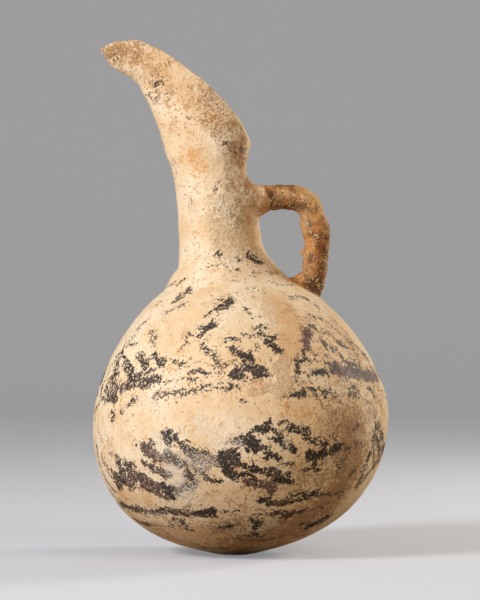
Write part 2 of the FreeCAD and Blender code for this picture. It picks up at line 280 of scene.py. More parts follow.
def neck_back(z):
    middle, reach, _, _ = neck_size(np.asarray(z, float))
    return float(middle + reach)


def handle_route(count=600):
    """Way, points (x, z) and headings along the roll's middle line, by adding up small steps."""
    lengths = [ROOT_INSIDE + STRAIGHT, BEND_RADIUS * np.radians(BEND_TURN),
               DROP_RADIUS * np.radians(DROP_TURN), FOOT_INSIDE]
    turns = np.radians([0, -BEND_TURN, -DROP_TURN, 0])
    ends = np.append(0, np.cumsum(lengths))
    way = np.linspace(0, ends[-1], count)
    heading = np.interp(way, ends, np.append(0, np.cumsum(turns)))
    middle = (heading[1:] + heading[:-1]) / 2
    step = np.diff(way)
    start = GIRTH_HEIGHT + ROOT_HEIGHT
    x = neck_back(start) - ROOT_INSIDE + np.append(0, np.cumsum(step * np.cos(middle)))
    z = start + np.append(0, np.cumsum(step * np.sin(middle)))
    return way, x, z, heading


ROUTE = handle_route()


def handle_at(way):
    """Point (x, z) and heading at a way along the handle."""
    return tuple(np.interp(way, ROUTE[0], v) for v in ROUTE[1:])


def tube(way, radius, turns):
    """Rings round the handle's line: point = line + radius (cos(turn) Y + sin(turn) across)."""
    x, z, heading = handle_at(way)
    across = radius * np.sin(turns)
    return np.stack([x - across * np.sin(heading), radius * np.cos(turns) + 0 * x,
                     z + across * np.cos(heading)], axis=-1)


def outside_body(way):
    """Positive where the roll's middle line is outside the body."""
    x, z, _ = handle_at(way)
    return np.abs(x - body_centre(z)) - body_radius(np.minimum(z, CROWN_HEIGHT))


foot_way = float(bisect(FOOT_SEARCH, ROUTE[0][-1], outside_body))
FOOT_X, FOOT_Z, FOOT_HEADING = (float(v) for v in handle_at(foot_way))
print("handle meets the shoulder at", round(FOOT_X, 1), round(FOOT_Z, 1))

# %% [markdown]
# ## Unevenness
#
# Smooth random noise on a lattice, repeated over space, blended between the lattice's corners with
# t^2 (3 - 2t). Because it depends on the place alone, two pieces that meet get the same dents.

# %%
LATTICE = 32
LATTICE_SHIFT = 0.37
DENTS = [(0.60, 45, 1), (0.34, 18, 2), (0.10, 6, 3), (0.045, 2.4, 4)]   # height and size in mm, seed
FLAT_EDGE = 6.0
noise_tables = {}


def noise(points, wave, seed):
    """Smooth noise between -1 and 1, with features of the given size in mm."""
    if seed not in noise_tables:
        noise_tables[seed] = np.random.default_rng(seed).uniform(-1, 1, (LATTICE,) * 3)
    cell = points / wave + LATTICE_SHIFT * seed
    low = np.floor(cell).astype(int)
    t = cell - low
    t = t * t * (3 - 2 * t)
    total = np.zeros(points.shape[:-1])
    for corner in range(8):
        step = np.array([corner & 1, corner >> 1 & 1, corner >> 2])
        index = np.moveaxis((low + step) % LATTICE, -1, 0)
        total += noise_tables[seed][tuple(index)] * np.prod(np.where(step, t, 1 - t), axis=-1)
    return total


def smooth(x, low, high):
    """0 below low, 1 above high, with a soft slope between."""
    t = np.clip((x - low) / (high - low), 0, 1)
    return t * t * (3 - 2 * t)


def dents(points):
    """How far the hand-built surface stands out, in mm. It fades out at the flat spot."""
    uneven = sum(height * noise(points, size, seed) for height, size, seed in DENTS)
    return uneven * smooth(points[..., 2], 0.0, FLAT_EDGE)


# %% [markdown]
# ## Strokes
#
# The painter's strokes that the picture shows are listed below: half the width in mm, how
# dense the paint still is, its tone, and the points of the picture that the stroke passes through.
# Each point is carried along its line of sight to the jug's surface. The tones are black, dark brown,
# purplish brown and reddish brown.

# %%
BLACK, DARK, PURPLE, RED = 0.0, 0.3, 0.65, 1.0
COLLAR_HEIGHT, COLLAR_POWER, COLLAR_EDGE = 19.0, 1.6, 0.7
COLLAR_BACK, COLLAR_FRONT, COLLAR_CORNER, COLLAR_FALL = 13.5, 9.0, 5.2, 8.0
COLLAR_HOLLOW, HOLLOW_DROP, HOLLOW_SPREAD = 1.15, 1.0, 3.8
COLLAR_SKIRT = 4.0
SIGHT_STEPS, SIGHT_SHARE, EDGE_SHARE = 12, 0.5, 0.998
STROKE_STEP, PATCH_STEP, SINGLE_POINT = 4.0, 6.0, 0.2
shoulder_x = NECK_MIDDLE + NECK_RADIUS + COLLAR_BACK
COLLAR_FOOT = float(bisect(GIRTH_HEIGHT, GIRTH_HEIGHT + SHOULDER_RISE,
                           lambda z: body_centre(z) + body_radius(z) - shoulder_x))


def collar_size(z):
    """Centre and radius of the collar's circle at a height, from how far its back and its front
    stand out: back (1 - rise)^p, and front (1 - exp(-drop below its corner / fall)), less a
    hollow of exp(-(distance / spread)^2)."""
    rise = (z - COLLAR_FOOT) / COLLAR_HEIGHT
    middle, reach, half, _ = neck_size(z)
    back = (COLLAR_BACK - COLLAR_EDGE) * np.clip(1 - rise, 0, None) ** COLLAR_POWER
    drop = np.clip(COLLAR_FOOT + COLLAR_CORNER - z, 0, None)
    front = COLLAR_FRONT * (1 - np.exp(-drop / COLLAR_FALL))
    front = front - COLLAR_HOLLOW * np.exp(-((z - COLLAR_FOOT + HOLLOW_DROP) / HOLLOW_SPREAD) ** 2)
    inner = np.maximum(reach, half) + COLLAR_EDGE
    return middle + (back - front) / 2, inner + (back + front) / 2


def front_depth(x, z):
    """How far the jug's front surface stands out towards the camera."""
    def reach_out(across, radius):
        return np.sqrt(np.clip(radius ** 2 - across ** 2, 0, None))
    low = z < GIRTH_HEIGHT + SHOULDER_RISE
    body = np.where(low, reach_out(x - body_centre(z), body_radius(z)), 0)
    centre, radius = collar_size(z)
    at_collar = (z > COLLAR_FOOT - COLLAR_SKIRT) & (z < COLLAR_FOOT + COLLAR_HEIGHT)
    collar = np.where(at_collar, reach_out(x - centre, radius), 0)
    middle, reach, half, pinch = neck_size(z)
    along = np.clip((x - middle) / reach, -1, 1)
    neck = np.where(z > COLLAR_FOOT, half * np.sqrt(1 - along ** 2) * (1 + pinch * along), 0)
    return np.maximum(np.maximum(body, collar), neck)


def on_jug(points):
    """Picture points, carried along their lines of sight to the surface. Repeated: the point moves
    half the way to the depth of the surface found there, starting in the plane of symmetry."""
    seen = np.asarray(points, float)
    offset = np.stack([seen[:, 0] - PICTURE[0] / 2, PICTURE[1] / 2 - seen[:, 1]], axis=-1) / POINTS_PER_MM
    depth = np.zeros(len(seen))
    for _ in range(SIGHT_STEPS):
        scale = (-EYE[1] - depth) / -EYE[1]
        x, z = EYE[0] + offset[:, 0] * scale, EYE[2] + offset[:, 1] * scale
        low = z < GIRTH_HEIGHT + SHOULDER_RISE
        centre, edge = body_centre(z), EDGE_SHARE * body_radius(z)
        x = np.where(low & (z < COLLAR_FOOT), centre + np.clip(x - centre, -edge, edge), x)
        depth = (1 - SIGHT_SHARE) * depth + SIGHT_SHARE * front_depth(x, z)
    return np.stack([x, -front_depth(x, z), z], axis=-1)


def fill_in(points, step):
    """A line through points, with more points added so that none are further apart than a step."""
    points = np.asarray(points, float)
    if len(points) == 1:
        points = np.repeat(points, 2, axis=0) + [[-SINGLE_POINT, 0], [SINGLE_POINT, 0]]
    gaps = np.linalg.norm(np.diff(points, axis=0), axis=1)
    way = np.append(0, np.cumsum(gaps))
    at = np.linspace(0, way[-1], max(int(way[-1] / step) + 2, 2))
    return np.stack([np.interp(at, way, v) for v in points.T], axis=-1)


def distance(places, line):
    """Distance from each place to a line through points in space."""
    nearest = np.full(len(places), np.inf)
    for a, b in zip(line[:-1], line[1:]):
        run = b - a
        share = np.clip(((places - a) @ run) / max(run @ run, 1e-9), 0, 1)
        nearest = np.minimum(nearest, np.linalg.norm(places - a - share[:, None] * run, axis=1))
    return nearest


PAINT = [
    # the neck: specks and drips
    (1.1, 0.62, BLACK, (156, 86), (162, 79)), (0.5, 0.80, BLACK, (112, 57), (117, 58)),
    (0.5, 0.80, BLACK, (149, 95), (153, 94)), (0.6, 0.80, BLACK, (169, 63), (171, 63)),
    (0.6, 0.60, BLACK, (152, 79), (154, 84)), (0.6, 0.70, DARK, (225, 144), (227, 145)),
    (0.5, 0.70, DARK, (236, 152), (238, 153)), (0.9, 0.70, DARK, (240, 149), (244, 152)),
    (0.6, 0.60, BLACK, (215, 184), (216, 189)), (0.5, 0.60, BLACK, (216, 265), (219, 265)),
    (1.2, 0.95, BLACK, (217, 253), (219, 254)), (0.5, 0.60, BLACK, (187, 118), (190, 121)),
    # round the neck's foot
    (2.6, 0.58, BLACK, (249, 255), (255, 257), (260, 261)), (1.0, 0.58, BLACK, (236, 260), (243, 258)),
    (1.0, 0.58, BLACK, (253, 273), (261, 272)), (0.8, 0.55, BLACK, (269, 273), (280, 271)),
    (1.2, 0.66, PURPLE, (273, 283), (277, 284)), (0.7, 0.66, PURPLE, (277, 285), (292, 285)),
    (1.6, 0.52, DARK, (290, 298), (299, 296), (308, 299)), (0.8, 0.60, BLACK, (208, 264), (217, 265)),
    (0.9, 0.50, DARK, (225, 268), (240, 270)), (0.8, 0.50, PURPLE, (250, 288), (262, 292)),
    # upper left edge
    (1.4, 0.56, PURPLE, (155, 293), (161, 287), (168, 282)), (1.0, 0.64, BLACK, (178, 284), (184, 280)),
    (3.0, 0.58, DARK, (178, 299), (184, 295), (190, 291)),
    (1.4, 0.50, PURPLE, (166, 314), (175, 309), (186, 304)), (0.8, 0.60, DARK, (156, 306), (160, 303)),
    (1.2, 0.58, PURPLE, (137, 329), (142, 324), (148, 320)),
    # left triangle
    (0.7, 0.72, RED, (126, 348), (117, 356), (109, 370)), (0.5, 0.66, DARK, (121, 352), (112, 366)),
    (0.8, 0.66, BLACK, (134, 337), (128, 343), (123, 351)),
    (1.6, 0.86, BLACK, (128, 345), (122, 351), (121, 357)),
    (1.0, 0.90, BLACK, (123, 356), (128, 361), (134, 371)), (1.0, 0.62, BLACK, (130, 344), (137, 343)),
    (3.0, 0.66, BLACK, (118, 362), (115, 372)), (3.2, 0.68, BLACK, (125, 364), (130, 373), (133, 379)),
    (1.3, 0.86, BLACK, (114, 375), (118, 374)), (3.2, 0.62, DARK, (112, 379), (117, 388), (112, 397)),
    (2.4, 0.70, BLACK, (106, 388), (111, 394), (116, 397)),
    (1.0, 0.86, BLACK, (105, 381), (102, 390), (101, 399)),
    (1.5, 0.70, BLACK, (101, 400), (107, 398), (114, 399)), (1.4, 0.60, BLACK, (117, 388), (115, 396)),
    (2.8, 0.60, BLACK, (139, 355), (145, 361), (144, 368)),
    (2.4, 0.66, BLACK, (154, 356), (159, 360), (163, 363)), (0.8, 0.55, BLACK, (163, 361), (168, 361)),
    (0.8, 0.50, BLACK, (148, 357), (154, 360)),
    (1.3, 0.60, BLACK, (149, 332), (153, 331), (151, 337), (157, 338)),
    (0.9, 0.66, BLACK, (150, 339), (157, 347)), (2.0, 0.64, BLACK, (135, 376), (142, 376), (147, 372)),
    (1.3, 0.66, BLACK, (146, 374), (150, 370), (155, 370)),
    (3.0, 0.74, DARK, (123, 389), (130, 385), (138, 382), (147, 381), (156, 380)),
    (2.0, 0.70, DARK, (142, 385), (148, 386)), (1.0, 0.58, DARK, (157, 382), (168, 381), (184, 378)),
    # the middle triangle: its left side, its filling, its base, its right side
    (2.6, 0.84, DARK, (221, 308), (225, 304), (230, 301)), (1.0, 0.66, BLACK, (219, 299), (222, 300)),
    (1.0, 0.78, BLACK, (219, 309), (212, 311), (205, 317)),
    (0.8, 0.66, BLACK, (217, 316), (213, 321), (211, 323)),
    (2.2, 0.78, BLACK, (202, 327), (207, 329), (210, 325)),
    (1.2, 0.84, BLACK, (206, 331), (203, 334), (199, 337)),
    (1.0, 0.70, BLACK, (197, 337), (193, 336), (188, 335)), (0.8, 0.66, BLACK, (187, 342), (181, 348)),
    (1.8, 0.54, BLACK, (200, 345), (206, 348), (212, 352)), (1.6, 0.60, BLACK, (215, 355), (218, 361)),
    (1.0, 0.54, BLACK, (211, 364), (217, 367)), (0.35, 0.76, BLACK, (197, 363), (216, 363)),
    (0.9, 0.66, BLACK, (222, 343), (224, 343)), (1.2, 0.60, BLACK, (227, 339), (235, 338), (240, 341)),
    (1.2, 0.56, BLACK, (228, 347), (234, 346)), (2.0, 0.84, DARK, (233, 348), (237, 354), (242, 358)),
    (1.9, 0.92, BLACK, (243, 358), (248, 357), (251, 361)),
    (0.9, 0.90, BLACK, (249, 352), (251, 358), (254, 364)), (0.9, 0.55, BLACK, (243, 334), (250, 338)),
    (0.9, 0.55, BLACK, (253, 342), (259, 347)), (1.2, 0.64, BLACK, (174, 361), (181, 364), (185, 360)),
    (1.4, 0.66, BLACK, (187, 373), (192, 370), (200, 371), (207, 374)),
    (1.5, 0.72, BLACK, (187, 379), (191, 377), (196, 379)),
    (1.4, 0.55, BLACK, (221, 366), (232, 364), (241, 366)), (1.4, 0.50, BLACK, (218, 372), (224, 372)),
    (2.0, 0.92, BLACK, (232, 374), (236, 376)), (3.2, 0.92, DARK, (238, 374), (252, 373), (266, 374)),
    (1.6, 0.86, BLACK, (246, 364), (250, 368), (258, 369)), (1.2, 0.56, BLACK, (230, 383), (238, 386)),
    (1.1, 0.55, BLACK, (245, 308), (250, 315)), (0.9, 0.60, BLACK, (252, 318), (259, 319)),
    (0.9, 0.74, BLACK, (254, 329), (260, 327), (266, 329)),
    (1.8, 0.90, BLACK, (260, 334), (266, 335), (271, 338)),
    (2.2, 0.95, BLACK, (266, 342), (271, 344), (276, 347), (279, 351)),
    (0.7, 0.55, BLACK, (270, 358), (271, 362)),
    # the line under the triangles, left
    (2.0, 0.52, RED, (154, 396), (162, 393), (170, 393)),
    (1.7, 0.64, DARK, (171, 393), (181, 393), (192, 392)),
    (1.3, 0.58, BLACK, (190, 390), (200, 388), (209, 385)), (1.0, 0.52, PURPLE, (192, 391), (212, 390)),
    (1.2, 0.54, BLACK, (212, 388), (226, 388)), (1.7, 0.66, DARK, (226, 390), (234, 388), (241, 389)),
    (1.5, 0.74, BLACK, (124, 410), (130, 404), (136, 400)),
    (1.5, 0.70, BLACK, (112, 412), (116, 415), (113, 420)),
    (1.2, 0.76, DARK, (99, 404), (95, 411), (95, 420)),
    (0.8, 0.85, BLACK, (241, 402), (243, 400), (245, 402)),
    # right triangle
    (1.6, 0.50, DARK, (313, 303), (319, 309)), (1.7, 0.48, DARK, (309, 314), (317, 318)),
    (1.7, 0.56, DARK, (306, 325), (315, 326)), (2.9, 0.92, PURPLE, (308, 332), (307, 340), (306, 347)),
    (2.0, 0.90, RED, (303, 348), (310, 347)), (1.6, 0.88, PURPLE, (302, 352), (302, 357)),
    (1.2, 0.88, BLACK, (294, 361), (301, 362), (306, 359)),
    (1.7, 0.84, BLACK, (297, 365), (296, 372), (295, 379)), (1.5, 0.60, BLACK, (301, 372), (306, 376)),
    (1.0, 0.72, DARK, (306, 361), (319, 361), (326, 363)),
    (1.6, 0.84, PURPLE, (320, 340), (323, 345), (326, 349)),
    (1.1, 0.72, PURPLE, (322, 333), (329, 334), (334, 336)),
    (1.5, 0.60, PURPLE, (315, 355), (321, 358), (328, 358)),
    (2.2, 0.72, DARK, (331, 348), (336, 352), (341, 357)),
    (1.5, 0.76, DARK, (341, 359), (345, 363), (352, 367)),
    (1.9, 0.66, DARK, (337, 341), (343, 345), (350, 349)),
    (1.0, 0.52, DARK, (318, 317), (330, 324), (340, 333), (352, 344)),
    (1.2, 0.50, DARK, (330, 316), (345, 331), (352, 341)),
    (1.5, 0.76, DARK, (353, 343), (361, 351), (368, 361)),
    (1.1, 0.66, DARK, (363, 352), (372, 365), (379, 377)), (1.2, 0.78, BLACK, (371, 368), (377, 380)),
    (1.6, 0.50, DARK, (346, 350), (354, 358), (362, 366)), (2.2, 0.76, DARK, (354, 364), (358, 370)),
    (2.0, 0.90, BLACK, (313, 373), (320, 371), (329, 374)), (0.8, 0.70, BLACK, (318, 368), (326, 371)),
    (3.2, 0.92, PURPLE, (333, 368), (343, 371), (354, 374)),
    (3.0, 0.90, PURPLE, (354, 375), (366, 376), (376, 377)), (1.6, 0.66, DARK, (340, 376), (352, 379)),
    # the line under the triangles, right
    (1.4, 0.60, BLACK, (277, 389), (283, 391), (286, 396)), (0.8, 0.60, BLACK, (283, 389), (296, 389)),
    (1.9, 0.86, BLACK, (293, 395), (298, 393), (304, 393)),
    (1.1, 0.78, BLACK, (303, 390), (310, 390), (318, 389)), (1.4, 0.52, DARK, (308, 395), (318, 394)),
    (2.0, 0.90, BLACK, (324, 395), (328, 391)), (1.0, 0.80, BLACK, (327, 394), (334, 393)),
    (1.3, 0.78, DARK, (348, 389), (357, 387), (357, 393), (348, 395)),
    (1.0, 0.56, DARK, (351, 391), (353, 391)), (1.0, 0.60, DARK, (360, 387), (367, 387)),
    (1.4, 0.84, BLACK, (367, 388), (372, 393)), (0.35, 0.80, BLACK, (320, 397), (358, 397)),
    (0.9, 0.62, BLACK, (365, 401), (371, 404)), (1.0, 0.66, DARK, (379, 387), (382, 396)),
    # lower zone, the left wings
    (2.3, 0.84, BLACK, (164, 436), (170, 435), (175, 439)), (1.7, 0.76, BLACK, (166, 442), (173, 445)),
    (1.7, 0.84, BLACK, (175, 441), (181, 445), (187, 449)), (2.2, 0.84, BLACK, (185, 447), (188, 453)),
    (3.4, 0.70, DARK, (192, 453), (198, 456), (206, 460)), (2.2, 0.62, DARK, (146, 447), (152, 445)),
    (3.0, 0.80, PURPLE, (144, 450), (151, 454), (157, 458)), (1.0, 0.76, DARK, (136, 444), (136, 447)),
    (2.4, 0.66, DARK, (160, 457), (167, 461)), (3.2, 0.82, DARK, (168, 454), (175, 460), (183, 463)),
    (2.6, 0.66, DARK, (183, 464), (191, 467)), (1.8, 0.60, DARK, (143, 463), (150, 466)),
    (2.6, 0.80, PURPLE, (152, 468), (158, 471), (165, 475)), (1.3, 0.80, BLACK, (170, 473), (172, 476)),
    (2.0, 0.74, DARK, (129, 475), (136, 478)),
    (3.2, 0.84, PURPLE, (134, 476), (144, 480), (152, 484), (159, 488)),
    (2.0, 0.86, RED, (143, 486), (152, 491), (160, 495), (168, 498)),
    (3.2, 0.88, BLACK, (163, 487), (168, 491), (171, 495)), (2.2, 0.66, BLACK, (174, 489), (178, 494)),
    (2.4, 0.72, BLACK, (179, 490), (185, 487), (190, 484)), (3.4, 0.80, DARK, (188, 476), (193, 482)),
    (2.4, 0.60, DARK, (190, 488), (198, 481)), (2.2, 0.66, DARK, (199, 471), (205, 474), (208, 479)),
    (1.1, 0.74, BLACK, (205, 478), (212, 481)), (1.2, 0.86, BLACK, (213, 482), (219, 481)),
    (4.0, 0.58, DARK, (190, 469), (204, 466)), (3.6, 0.54, DARK, (204, 456), (214, 462)),
    (1.0, 0.66, BLACK, (111, 453), (117, 456)), (2.8, 0.66, BLACK, (118, 459), (120, 467), (123, 474)),
    (2.6, 0.60, BLACK, (126, 463), (134, 466)), (2.4, 0.66, BLACK, (126, 470), (133, 470)),
    (1.6, 0.74, PURPLE, (111, 470), (115, 478), (118, 485)), (2.6, 0.80, BLACK, (118, 485), (124, 483)),
    (3.4, 0.72, DARK, (116, 478), (125, 480), (133, 485)),
    (2.8, 0.42, RED, (103, 456), (106, 466), (112, 476)),
    (1.2, 0.76, BLACK, (97, 446), (98, 456), (101, 467)),
    (1.2, 0.72, PURPLE, (103, 473), (109, 484), (116, 492)),
    (1.0, 0.64, DARK, (110, 490), (117, 499), (122, 506)), (1.6, 0.40, RED, (98, 430), (102, 442)),
    # lower zone, the wing in the middle
    (2.6, 0.92, BLACK, (219, 460), (222, 455), (229, 452)), (2.6, 0.92, BLACK, (228, 453), (237, 453)),
    (2.6, 0.93, BLACK, (220, 462), (226, 465), (229, 460)), (2.0, 0.92, BLACK, (229, 459), (239, 459)),
    (1.8, 0.86, BLACK, (223, 468), (226, 473), (231, 477)),
    (1.7, 0.90, BLACK, (231, 471), (238, 474), (237, 479)), (2.8, 0.66, BLACK, (226, 464), (236, 469)),
    (1.3, 0.80, BLACK, (233, 465), (240, 466)), (1.6, 0.60, DARK, (229, 444), (238, 441)),
    (1.1, 0.66, RED, (225, 462), (236, 470)),
    (1.5, 0.84, BLACK, (237, 441), (245, 436), (252, 431), (262, 427), (270, 423)),
    (2.0, 0.80, BLACK, (259, 430), (265, 432), (269, 429)), (2.6, 0.80, DARK, (240, 441), (246, 441)),
    (3.2, 0.96, BLACK, (249, 442), (254, 444), (257, 448)),
    (2.0, 0.93, BLACK, (247, 450), (253, 453), (256, 455)), (1.4, 0.70, BLACK, (262, 446), (269, 449)),
    (1.6, 0.84, BLACK, (270, 428), (276, 433), (280, 438)),
    (2.2, 0.93, BLACK, (272, 439), (277, 442), (282, 445)),
    (2.0, 0.93, BLACK, (259, 451), (266, 453), (272, 457), (277, 459)),
    (1.3, 0.90, BLACK, (262, 458), (268, 459)), (1.7, 0.90, BLACK, (291, 445), (296, 448)),
    (1.2, 0.60, DARK, (283, 447), (290, 450)), (1.8, 0.60, DARK, (284, 463), (294, 464)),
    (2.0, 0.92, BLACK, (244, 466), (252, 468), (259, 470)), (0.9, 0.92, BLACK, (251, 460), (252, 466)),
    (2.2, 0.90, DARK, (262, 471), (270, 472), (277, 474)),
    (2.2, 0.90, BLACK, (237, 476), (245, 474), (253, 478)),
    (1.8, 0.86, RED, (246, 481), (254, 485), (262, 487)), (2.0, 0.80, BLACK, (254, 480), (262, 482)),
    (2.8, 0.86, RED, (265, 483), (272, 486), (271, 489)),
    (2.1, 0.92, BLACK, (277, 479), (284, 479), (291, 481)), (0.9, 0.80, BLACK, (286, 475), (291, 472)),
    (1.0, 0.60, BLACK, (278, 425), (284, 421), (292, 425)),
    (2.2, 0.80, BLACK, (290, 429), (297, 430), (305, 433)),
    (2.2, 0.78, BLACK, (306, 438), (314, 442), (324, 443)), (1.2, 0.86, BLACK, (314, 439), (316, 444)),
    (1.2, 0.55, DARK, (326, 436), (336, 440)),
    # lower zone, right
    (2.6, 0.95, BLACK, (309, 456), (316, 455), (323, 453)),
    (2.1, 0.90, BLACK, (323, 452), (331, 450), (339, 446)), (2.0, 0.90, BLACK, (312, 459), (315, 464)),
    (1.2, 0.86, BLACK, (305, 468), (312, 468), (319, 470)), (1.5, 0.64, PURPLE, (332, 455), (337, 450)),
    (1.0, 0.66, DARK, (345, 446), (348, 450)), (1.5, 0.45, DARK, (342, 459), (348, 456)),
    (1.1, 0.62, RED, (334, 463), (341, 467)), (1.1, 0.80, RED, (351, 432), (355, 427), (358, 424)),
    (2.4, 0.36, RED, (352, 442), (362, 444)), (1.6, 0.50, RED, (362, 470), (366, 460)),
    (1.0, 0.55, DARK, (350, 474), (354, 470)),
    # upper line of the foot
    (2.3, 0.80, BLACK, (121, 504), (127, 507), (136, 508)),
    (2.3, 0.68, DARK, (136, 509), (146, 511), (158, 514)),
    (2.4, 0.78, BLACK, (158, 512), (168, 512), (176, 514)),
    (2.8, 0.86, RED, (176, 514), (188, 514), (200, 514)),
    (2.6, 0.92, BLACK, (196, 514), (205, 513), (211, 512)), (1.3, 0.84, BLACK, (211, 516), (216, 517)),
    (1.2, 0.50, BLACK, (213, 509), (220, 513), (228, 511), (240, 511)),
    (2.5, 0.90, BLACK, (261, 502), (267, 500), (272, 502)),
    (2.2, 0.80, RED, (271, 503), (280, 503), (288, 502)),
    (1.4, 0.86, BLACK, (283, 504), (292, 502), (302, 500)),
    (1.7, 0.78, BLACK, (292, 497), (298, 494), (304, 496)),
    (1.7, 0.82, BLACK, (305, 498), (311, 494), (318, 492)), (1.4, 0.62, DARK, (318, 495), (325, 496)),
    (1.4, 0.72, RED, (325, 495), (333, 494), (341, 494)),
    # lower line of the foot
    (1.9, 0.90, PURPLE, (135, 519), (141, 522), (149, 524)),
    (1.5, 0.52, DARK, (154, 524), (163, 527), (172, 525)), (1.4, 0.55, BLACK, (174, 520), (184, 520)),
    (2.3, 0.76, BLACK, (181, 523), (186, 526)), (1.4, 0.80, RED, (186, 529), (193, 531)),
    (0.6, 0.60, BLACK, (168, 526), (180, 530)), (1.1, 0.84, BLACK, (220, 528), (226, 527), (232, 526)),
    (2.3, 0.86, RED, (272, 515), (280, 513), (288, 515), (298, 513)),
    (1.8, 0.50, DARK, (250, 517), (262, 515), (272, 514)),
    (1.8, 0.66, BLACK, (252, 520), (258, 523), (255, 528)),
    (1.9, 0.78, BLACK, (250, 536), (256, 533), (262, 537)),
    (1.2, 0.56, DARK, (303, 510), (312, 508), (322, 507)), (1.1, 0.66, BLACK, (323, 507), (329, 503)),
    (1.2, 0.60, RED, (300, 524), (312, 524)), (3.6, 0.80, BLACK, (311, 526), (319, 523), (326, 519)),
    (1.6, 0.60, DARK, (328, 516), (336, 511)), (1.9, 0.72, RED, (204, 547), (216, 548), (229, 548)),
    (1.0, 0.55, RED, (151, 531), (160, 536), (168, 541)),
    (1.4, 0.52, RED, (240, 540), (262, 541), (280, 538)),
]

# Thin lines that the painter left bare, or that were scratched through
BARE = [
    (1.2, (247, 374), (250, 376)), (0.7, (313, 343), (328, 353), (342, 363)),
    (0.7, (322, 369), (330, 374), (340, 380)), (1.0, (239, 452), (252, 456), (264, 461), (278, 468)),
    (0.9, (262, 437), (273, 444), (286, 451)), (0.5, (240, 469), (252, 474), (266, 479)),
    (1.4, (124, 350), (131, 358), (141, 368)), (0.5, (228, 462), (240, 470)), (0.6, (266, 338), (269, 339)),
    (1.6, (244, 460), (249, 463)), (1.3, (258, 463), (262, 465)), (1.2, (260, 454), (266, 456)),
    (0.8, (279, 508), (305, 503), (336, 498)),
]
